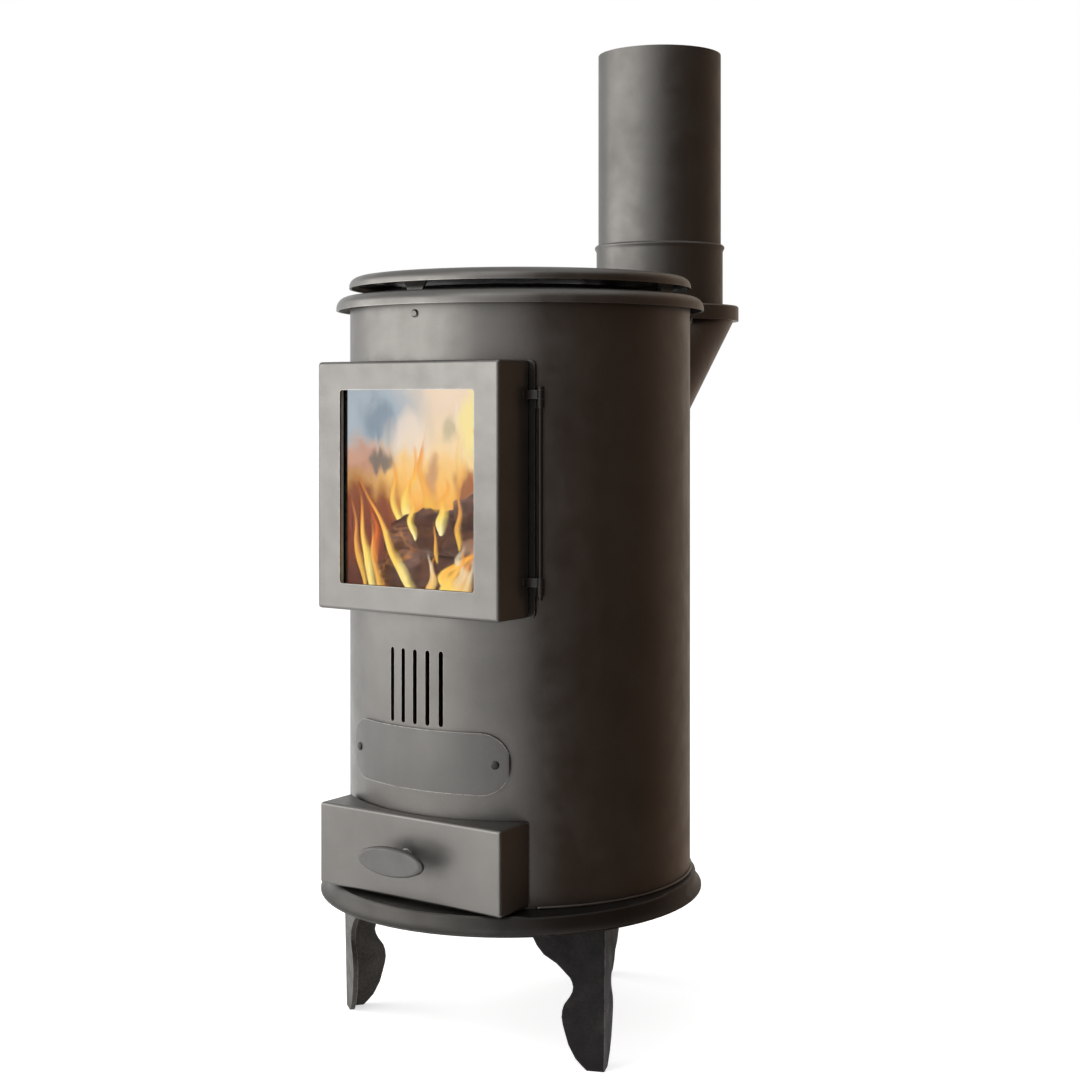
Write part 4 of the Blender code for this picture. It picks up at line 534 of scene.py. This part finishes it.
def skin(bm, rings, closed=False, caps=True):
    """Quads between rings of equal counts."""
    rows = [[bm.verts.new(point) for point in ring] for ring in rings]
    pairs = list(zip(rows, rows[1:]))
    if closed:
        pairs.append((rows[-1], rows[0]))
    for low, high in pairs:
        for index in range(len(low)):
            after = (index + 1) % len(low)
            bm.faces.new((low[index], low[after], high[after], high[index]))
    if caps and not closed:
        bm.faces.new(rows[0])
        bm.faces.new(rows[-1])


def around(path, radii, sides, closed=False, turn=0.0):
    """Rings of points round each point of a path, square to its run."""
    rings = []
    count = len(path)
    up = Vector((0.13, 0.21, 1.0)).normalized()
    for index, point in enumerate(path):
        before = path[index - 1] if closed or index else path[index]
        after = path[(index + 1) % count] if closed or index < count - 1 else path[index]
        run = (after - before).normalized()
        side = run.cross(up).normalized()
        over = side.cross(run)
        ring = []
        for step in range(sides):
            angle = turn + math.tau * step / sides
            ring.append(point + (side * math.cos(angle) + over * math.sin(angle)) * radii[index])
        rings.append(ring)
    return rings


def polar(radius, degrees, height):
    """Point at an azimuth from the front of the drum."""
    angle = math.radians(degrees)
    return Vector((radius * math.sin(angle), AXIS_Y - radius * math.cos(angle), height))


# Weld seams
def weld_bead(name, path, radius, closed=True):
    """Hand-laid weld: a bead with the ripples of the stepped torch."""
    radii = []
    run = 0.0
    for index, point in enumerate(path):
        run += (point - path[index - 1]).length if index else 0.0
        ripple = 1 + 0.10 * math.sin(run / WELD_RIPPLE * math.tau) + 0.10 * noise.noise(point * 90)
        radii.append(radius * ripple)
    bm = bmesh.new()
    skin(bm, around(path, radii, 8, closed), closed)
    return place(name, bm, PAINT, "frame", "stove_paint")


def build_flue_weld():
    """Seam where the slanting outlet meets the drum."""
    low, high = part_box("flue_outlet")
    tube = (high.x - low.x) / 2
    top = high.z
    centre = high.y - tube
    path = []
    steps = 180
    for step in range(steps):
        angle = math.tau * step / steps
        x = tube * math.sin(angle)
        y = AXIS_Y + math.sqrt(DRUM_RADIUS ** 2 - x ** 2)
        depth = centre + tube * math.cos(angle) - y
        path.append(Vector((x, y + WELD_LIFT, top - depth)))
    weld_bead("flue_weld", path, 0.0026)


def build_base_weld():
    """Seam round the foot of the drum, broken where the drawer stands."""
    steps = 240
    start, sweep, rise = 40, 280, 0.0012
    path = [polar(DRUM_RADIUS + WELD_LIFT, start + sweep * step / steps, BASE_TOP + rise)
            for step in range(steps + 1)]
    weld_bead("base_weld", path, 0.0017, closed=False)


# Seal rope
def build_rope():
    """Knitted seal rope: strands wound round the path that the seal lies on."""
    low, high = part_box("door_rope_seal")
    depth = high.y - low.y
    y = (low.y + high.y) / 2
    left, right = low.x + ROPE_HALF_WIDTH, high.x - ROPE_HALF_WIDTH
    bottom, top = low.z + ROPE_HALF_WIDTH, high.z - ROPE_HALF_WIDTH
    path = []
    steps = 6
    for x, z, start in ((right, top, 0), (left, top, 90), (left, bottom, 180), (right, bottom, 270)):
        centre = Vector((x - math.copysign(ROPE_CORNER, x - (left + right) / 2), y,
                         z - math.copysign(ROPE_CORNER, z - (bottom + top) / 2)))
        for step in range(steps + 1):
            angle = math.radians(start + 90 * step / steps)
            path.append(centre + Vector((math.cos(angle), 0, math.sin(angle))) * ROPE_CORNER)
    dense = []
    for index, point in enumerate(path):
        after = path[(index + 1) % len(path)]
        pieces = max(1, round((after - point).length / ROPE_POINT_SPACING))
        for part in range(pieces):
            dense.append(point.lerp(after, part / pieces))
    total = len(dense)
    turns = round(total * ROPE_POINT_SPACING / ROPE_LAY)
    swing = ROPE_HALF_WIDTH * 0.50
    bm = bmesh.new()
    for strand in range(ROPE_STRANDS):
        line = []
        for index, point in enumerate(dense):
            run = (dense[(index + 1) % total] - dense[index - 1]).normalized()
            across = Vector((run.z, 0, -run.x))
            angle = math.tau * (turns * index / total + strand / ROPE_STRANDS)
            inward = Vector((0, depth * 0.26 * math.sin(angle), 0))
            line.append(point + across * swing * math.cos(angle) + inward)
        skin(bm, around(line, [ROPE_HALF_WIDTH * 0.49] * total, 6, True), closed=True)
    rope = place("seal_rope_strands", bm, SEAL, "door", "seal_fibre")
    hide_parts("door_rope_seal")


# Fire
def build_log(name, start, end, radius, seed):
    """Burnt log with knots, splits and a rough end."""
    start, end = Vector(start), Vector(end)
    path = []
    radii = []
    count = 22
    for step in range(count + 1):
        share = step / count
        bow = noise.noise_vector(Vector((seed, share * 2.0, 0.3))) * radius * 0.35
        path.append(start.lerp(end, share) + bow)
        end_taper = 0.86 + 0.14 * min(1, min(share, 1 - share) * count)
        knots = 1 + 0.10 * noise.noise(Vector((seed, share * 9, 4)))
        radii.append(radius * end_taper * knots)
    rings = around(path, radii, 16)
    rough = []
    for ring, centre in zip(rings, path):
        rough.append([point + (point - centre) * 0.22 * noise.noise(point * 85 + Vector((seed, 0, 0)))
                      for point in ring])
    bm = bmesh.new()
    skin(bm, rough)
    return place(name, bm, CHAR, "frame", "cast_iron")


def build_logs():
    """Logs heaped on the embers: broken ones across the window, others that end towards it."""
    logs = (
        ((0.24, 0.05, 0.100), (1.10, 0.07, 0.092), 0.021),
        ((0.27, 0.20, 0.108), (0.82, 0.27, 0.118), 0.018),
        ((0.52, 0.33, 0.130), (1.05, 0.20, 0.108), 0.017),
        ((0.31, 0.27, 0.122), (0.60, 0.37, 0.140), 0.013),
        ((0.60, 0.33, 0.136), (0.84, 0.38, 0.150), 0.012),
        ((0.80, 0.36, 0.118), (1.15, 0.44, 0.150), 0.019),
        ((0.36, 0.15, 0.098), (0.62, 0.11, 0.096), 0.012),
        ((0.30, 0.10, 0.160), (1.30, 0.12, 0.170), 0.026),
        ((0.45, 0.30, 0.185), (1.40, 0.30, 0.180), 0.024),
    )
    for index, (start, end, radius) in enumerate(logs):
        build_log("log_%d" % (index + 1), behind_window(*start), behind_window(*end), radius, 3.7 * index + 1)


def build_embers():
    """Lumpy bed of embers heaped on the grate."""
    bm = bmesh.new()
    rings = []
    ring_count = 15
    steps = 72
    hole = 0.002
    for ring_index in range(ring_count):
        reach = hole + (EMBER_RADIUS - hole) * ring_index / (ring_count - 1)
        ring = []
        for step in range(steps):
            angle = math.tau * step / steps
            x = reach * math.cos(angle)
            y = AXIS_Y + reach * math.sin(angle)
            fall = 1 - (reach / EMBER_RADIUS) ** 3
            lump = 0.5 + 0.5 * noise.noise(Vector((x, y, 0)) * 70)
            ring.append(Vector((x, y, GRATE_TOP + 0.0006 + fall * (0.006 + 0.012 * lump))))
        rings.append(ring)
    skin(bm, rings)
    place("ember_bed", bm, EMBER, "frame", "fire_brick")


def behind_window(across, up, depth):
    """Point at a depth behind the glass that shows at a share across and up it, from the front right."""
    x = GLASS_MIDDLE + WINDOW_WIDTH * (across - 0.5) - SHIFT_LEFT_WITH_DEPTH * depth
    foot = WINDOW_FOOT - DROP_WITH_DEPTH * depth
    return Vector((x, GLASS_HIGH.y + depth, foot + (WINDOW_HEIGHT + GROWTH_WITH_DEPTH * depth) * up))


def build_leaf(name, start, end, bend, width, depth, material, seed):
    """A leaf of flame: a cupped, swaying ribbon, widest low down, that ends in a point."""
    count = 20
    across_steps = 6
    bm = bmesh.new()
    layer = bm.loops.layers.uv.new("flow")
    rows = []
    for step in range(count + 1):
        share = step / count
        across = start[0] + (end[0] - start[0]) * share + bend * math.sin(math.pi * share)
        up = start[1] + (end[1] - start[1]) * share
        middle = behind_window(across, up, depth)
        sway = noise.noise(Vector((seed, share * 3.2, 0))) * width * 0.55
        middle += Vector((sway, 0, 0))
        spread = width * (0.55 + 0.45 * math.sin(math.pi * min(1, share * 1.5 + 0.12))) * (1 - share) ** 0.55
        spread *= min(1, 0.12 + share * 5) ** 0.6
        row = []
        for index in range(across_steps + 1):
            side = index / across_steps * 2 - 1
            cup = (1 - side * side) * -spread * 0.35
            row.append(bm.verts.new(middle + Vector((side * spread * 0.80, cup - side * spread * 0.45, 0))))
        rows.append(row)
    for low in range(count):
        for index in range(across_steps):
            face = bm.faces.new((rows[low][index], rows[low][index + 1], rows[low + 1][index + 1],
                                 rows[low + 1][index]))
            spots = ((index, low), (index + 1, low), (index + 1, low + 1), (index, low + 1))
            for loop, (u, v) in zip(face.loops, spots):
                loop[layer].uv = (u / across_steps, v / count)
    return place(name, bm, material, "frame", "fire_brick")


def build_flames():
    """Leaves of flame as the photo's fire has them: long licks low at the left, broad ones behind."""
    leaves = (
        ((0.19, -0.10), (0.02, 0.62), 0.02, 0.0200, 0.030, FLAME_YELLOW),
        ((0.12, -0.03), (-0.01, 0.52), 0.01, 0.0150, 0.026, FLAME_AMBER),
        ((0.25, -0.10), (0.12, 0.46), -0.01, 0.0170, 0.036, FLAME_AMBER),
        ((0.56, -0.12), (0.00, 0.66), 0.000, 0.0240, 0.034, FLAME_YELLOW),
        ((0.22, 0.12), (0.11, 0.52), 0.02, 0.0150, 0.044, FLAME_RED),
        ((0.63, -0.10), (0.67, 0.22), -0.01, 0.0170, 0.052, FLAME_YELLOW),
        ((0.77, -0.16), (1.00, 0.34), -0.06, 0.0500, 0.050, FLAME_YELLOW),
        ((0.86, -0.16), (0.90, 0.20), 0.03, 0.0260, 0.046, FLAME_CREAM),
        ((0.93, -0.12), (1.02, 0.24), -0.03, 0.0360, 0.060, FLAME_AMBER),
        ((0.72, -0.10), (0.84, 0.22), 0.02, 0.0260, 0.056, FLAME_AMBER),
        ((0.62, -0.08), (0.61, 0.22), 0.015, 0.0200, 0.044, FLAME_CREAM),
        ((0.80, -0.12), (0.95, 0.24), -0.02, 0.0520, 0.047, FLAME_CREAM),
        ((0.77, -0.10), (0.84, 0.22), -0.02, 0.0260, 0.042, FLAME_YELLOW),
        ((0.68, 0.27), (0.71, 0.60), 0.02, 0.0220, 0.078, FLAME_YELLOW),
        ((0.83, 0.20), (0.86, 0.60), -0.02, 0.0140, 0.078, FLAME_AMBER),
        ((0.45, 0.24), (0.43, 0.56), 0.02, 0.0170, 0.076, FLAME_YELLOW),
        ((0.66, 0.13), (0.62, 0.38), 0.01, 0.0090, 0.072, FLAME_AMBER),
        ((0.29, 0.26), (0.25, 0.70), 0.02, 0.0230, 0.150, FLAME_YELLOW),
        ((0.40, 0.28), (0.44, 0.80), -0.02, 0.0280, 0.170, FLAME_YELLOW),
        ((0.56, 0.28), (0.55, 0.90), -0.03, 0.0340, 0.190, FLAME_AMBER),
        ((0.80, 0.52), (0.74, 1.00), 0.04, 0.0260, 0.160, FLAME_CREAM),
        ((0.98, 0.62), (0.95, 1.02), 0.01, 0.0200, 0.130, FLAME_YELLOW),
        ((0.93, 0.30), (0.88, 0.66), 0.02, 0.0120, 0.120, FLAME_RED),
    )
    for index, (start, end, bend, width, depth, material) in enumerate(leaves):
        build_leaf("flame_%d" % (index + 1), start, end, bend, width, depth, material, 5.3 * index + 2)


def soft_patch(graph, spot, centre, reach):
    """Mask that is one in a ragged oval about a place and nought outside it."""
    away = graph.vector("DIVIDE", graph.vector("SUBTRACT", spot, (*centre, 0.0)), (*reach, 1.0))
    return graph.span(graph.vector("LENGTH", away), 0.55, 1.15, 1.0, 0.0)


def burning_gas():
    """Glow behind the flames: red-brown low down, orange, then cream; smoke and soot in patches."""
    graph = Graph("burning_gas")
    place_uv = graph.node("ShaderNodeTexCoord").outputs["UV"]
    drift = graph.node("ShaderNodeTexNoise", Vector=graph.coordinates((1, 1, 0.7)), Scale=22.0, Detail=4.0,
                       Roughness=0.6, Distortion=0.8).outputs["Color"]
    sway = (0.22, 0.28, 0.0)
    shifted = graph.vector("MULTIPLY_ADD", drift, sway, place_uv)
    spot = graph.vector("SUBTRACT", shifted, tuple(value / 2 for value in sway))
    height = graph.node("ShaderNodeSeparateXYZ", Vector=spot).outputs["Y"]
    tone = graph.ramp(height, (
        (0.10, (0.12, 0.035, 0.022)), (0.32, (0.17, 0.045, 0.025)), (0.39, (0.80, 0.26, 0.05)),
        (0.48, (1.0, 0.50, 0.11)), (0.60, (1.0, 0.60, 0.21)), (0.74, (0.98, 0.71, 0.42)),
        (0.98, (0.92, 0.71, 0.54)),
    ))
    patches = (
        ((0.06, 0.92), (0.46, 0.26), (0.43, 0.48, 0.54), 1.0),
        ((0.18, 0.86), (0.12, 0.12), (0.23, 0.29, 0.36), 0.8),
        ((0.04, 0.66), (0.24, 0.11), (0.60, 0.32, 0.24), 0.9),
        ((0.19, 0.65), (0.08, 0.06), (0.17, 0.15, 0.13), 0.85),
        ((0.06, 0.34), (0.28, 0.26), (0.22, 0.055, 0.028), 0.95),
        ((0.70, 0.86), (0.09, 0.08), (0.52, 0.45, 0.30), 0.7),
        ((0.85, 0.54), (0.12, 0.13), (0.34, 0.11, 0.055), 0.9),
        ((0.54, 0.57), (0.07, 0.15), (0.56, 0.28, 0.16), 0.75),
        ((0.88, 0.88), (0.11, 0.20), (1.0, 0.82, 0.34), 0.85),
        ((0.37, 0.80), (0.16, 0.12), (1.0, 0.80, 0.66), 0.6),
        ((0.84, 0.36), (0.15, 0.14), (0.24, 0.065, 0.04), 1.0),
    )
    for centre, reach, colour, strength in patches:
        mask = graph.math("MULTIPLY", soft_patch(graph, spot, centre, reach), strength)
        tone = graph.mix(mask, tone, colour)
    return graph.finish(graph.node("ShaderNodeEmission", Color=tone, Strength=0.98))


def window_share(point):
    """The share across and up the window at which a point behind it is seen from the front right."""
    depth = point.y - GLASS_HIGH.y
    across = (point.x - GLASS_MIDDLE + SHIFT_LEFT_WITH_DEPTH * depth) / WINDOW_WIDTH + 0.5
    up = (point.z - WINDOW_FOOT + DROP_WITH_DEPTH * depth) / (WINDOW_HEIGHT + GROWTH_WITH_DEPTH * depth)
    return across, up


def build_gas():
    """Curtain of burning gas that lines the left and the back of the firebox, out to the door's neck."""
    plan = [Vector(spot) for spot in GAS_NECK]
    for degrees in GAS_AZIMUTHS:
        spot = polar(GAS_RADIUS, degrees, 0)
        plan.append(Vector((spot.x, spot.y - AXIS_Y)))
    low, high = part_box("flame_baffle")
    bm = bmesh.new()
    layer = bm.loops.layers.uv.new("flow")
    rows = []
    up_steps = 16
    across_steps = 6
    for first, second in zip(plan, plan[1:]):
        for step in range(across_steps):
            point = first.lerp(second, step / across_steps)
            floor = NECK_FLOOR if point.y < NECK_BACK else GRATE_TOP + 0.004
            column = []
            for level in range(up_steps + 1):
                z = floor + (GAS_TOP - floor) * level / up_steps
                baffle_y = high.y + (low.y - high.y) * max(0, z - low.z) / (high.z - low.z)
                column.append(bm.verts.new((point.x, min(AXIS_Y + point.y, baffle_y - GAS_TO_BAFFLE), z)))
            rows.append(column)
    for left, right in zip(rows, rows[1:]):
        for level in range(up_steps):
            face = bm.faces.new((left[level], right[level], right[level + 1], left[level + 1]))
            for loop in face.loops:
                loop[layer].uv = window_share(loop.vert.co)
    place("burning_gas", bm, burning_gas(), "frame", "fire_brick")


def build_ash():
    """Heap of ash in the tray."""
    low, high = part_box("ash_tray")
    left, right = low.x + ASH_INSET, high.x - ASH_INSET
    front, back = low.y + ASH_BEHIND_FRONT, high.y - ASH_INSET
    floor = low.z + ASH_ABOVE_TRAY
    bm = bmesh.new()
    across, along = 40, 56
    grid = []
    for row in range(along + 1):
        line = []
        for column in range(across + 1):
            x = left + (right - left) * column / across
            y = front + (back - front) * row / along
            rim = min(column, across - column, row, along - row)
            drifts = 0.008 * noise.noise(Vector((x, y, 1)) * 28)
            lumps = 0.003 * noise.noise(Vector((x, y, 5)) * 120)
            line.append(bm.verts.new((x, y, floor + (ASH_DEPTH + drifts + lumps if rim else 0.0))))
        grid.append(line)
    for near, far in zip(grid, grid[1:]):
        for column in range(across):
            bm.faces.new((near[column], near[column + 1], far[column + 1], far[column]))
    place("ash_heap", bm, ASH, "drawer", "fire_brick")


# Stage, light and camera
def build_stage():
    """Plain pale floor that looks white to the camera and still takes the object's shadow."""
    graph = Graph("pale_floor")
    path = graph.node("ShaderNodeLightPath").outputs
    ray = graph.math("MAXIMUM", path["Is Glossy Ray"], path["Is Transmission Ray"])
    ray = graph.math("MAXIMUM", path["Is Camera Ray"], ray)
    graph.surface((0.90, 0.90, 0.90), 0.0, 0.8, Emission_Color=(1.0, 1.0, 1.0, 1.0),
                  Emission_Strength=graph.math("MULTIPLY", ray, 0.62))
    bm = bmesh.new()
    bmesh.ops.create_grid(bm, x_segments=1, y_segments=1, size=60)
    floor = add_object("floor", to_mesh("floor", bm))
    floor.data.materials.append(graph.material)


def build_flag():
    """Dark card at the right, paler towards the back, that darkens that side and isn't seen itself."""
    graph = Graph("dark_card")
    bearing = graph.node("ShaderNodeSeparateXYZ", Vector=graph.node("ShaderNodeTexCoord").outputs["UV"])
    behind = graph.span(bearing.outputs["X"], 0.34, 0.52, 0.0, 1.0)
    tone = graph.mix(behind, (1.0, 0.49, 0.22), (1.0, 0.85, 0.70))
    graph.surface((0.02, 0.02, 0.02), 0.0, 0.9, Emission_Color=tone,
                  Emission_Strength=graph.span(behind, 0.0, 1.0, 0.10, 0.58))
    bm = bmesh.new()
    layer = bm.loops.layers.uv.new("bearing")
    steps = 24
    start, sweep = 37, 163
    inner, outer, foot, top = 0.33, 1.6, 0.001, 2.8
    bearings = [start + sweep * step / steps for step in range(steps + 1)]
    rows = []
    for degrees in bearings:
        rows.append([bm.verts.new(polar(radius, degrees, height))
                     for radius, height in ((inner, foot), (outer, foot), (outer, top))])
    for step in range(steps):
        first, second = rows[step], rows[step + 1]
        for index in range(2):
            face = bm.faces.new((first[index], second[index], second[index + 1], first[index + 1]))
            for loop in face.loops:
                loop[layer].uv = (bearings[step + (loop.vert in second)] / 360, 0.0)
    card = add_object("dark_card", to_mesh("dark_card", bm))
    card.data.materials.append(graph.material)
    card.visible_camera = False
    card.visible_diffuse = False
    card.visible_shadow = False


def add_light(name, degrees, distance, height, size, power, colour, target):
    """Area lamp at an azimuth and distance from the drum's axis, aimed at a place."""
    lamp = bpy.data.lights.new(name, "AREA")
    lamp.shape = "RECTANGLE"
    lamp.size, lamp.size_y = size
    lamp.energy = power
    lamp.color = colour
    item = add_object(name, lamp)
    item.location = polar(distance, degrees, height)
    item.rotation_euler = (Vector(target) - item.location).to_track_quat("-Z", "Y").to_euler()
    item.visible_camera = False


def light_scene():
    """White world that lights at less than half its strength, with a broad key, a top and a rim lamp."""
    world = bpy.data.worlds.new("studio")
    bpy.context.scene.world = world
    world.use_nodes = True
    tree = world.node_tree
    background = tree.nodes["Background"]
    path = tree.nodes.new("ShaderNodeLightPath")
    seen = path.outputs["Is Camera Ray"]
    for ray in ("Is Glossy Ray", "Is Transmission Ray"):
        either = tree.nodes.new("ShaderNodeMath")
        either.operation = "MAXIMUM"
        tree.links.new(seen, either.inputs[0])
        tree.links.new(path.outputs[ray], either.inputs[1])
        seen = either.outputs[0]
    strength = tree.nodes.new("ShaderNodeMapRange")
    tree.links.new(seen, strength.inputs["Value"])
    strength.inputs["To Min"].default_value = 0.45
    strength.inputs["To Max"].default_value = 1.0
    tree.links.new(strength.outputs["Result"], background.inputs["Strength"])
    background.inputs["Color"].default_value = (1, 1, 1, 1)
    centre = Vector((0, AXIS_Y, 0.50))
    add_light("key", -44, 2.2, 0.95, (3.8, 1.6), 70, (1.0, 0.99, 0.975), centre)
    add_light("top", 10, 1.6, 2.3, (1.4, 1.4), 10, (1.0, 1.0, 1.0), centre)
    add_light("rim", 170, 2.4, 0.58, (1.1, 1.2), 3.8, (1.0, 0.98, 0.96), centre)


def set_camera():
    """Camera at the photo's place, level, with the lens shift that the framing needs."""
    camera = bpy.data.cameras.new("camera")
    camera.lens = 60.06
    camera.sensor_width = 36
    camera.shift_x = 0.0185
    camera.shift_y = -0.126
    item = add_object("camera", camera)
    item.location = (1.1317, -1.6122 + AXIS_Y, 0.6656)
    item.rotation_euler = (math.radians(90), 0, math.radians(35.07))
    bpy.context.scene.camera = item


set_camera()
light_scene()
build_stage()
build_flag()
dress_frame()
build_smooth_shapes()
build_round_walls()
build_flue_weld()
build_base_weld()
build_rope()
build_embers()
build_logs()
build_flames()
build_gas()
build_ash()

bpy.context.scene.view_settings.view_transform = "Standard"
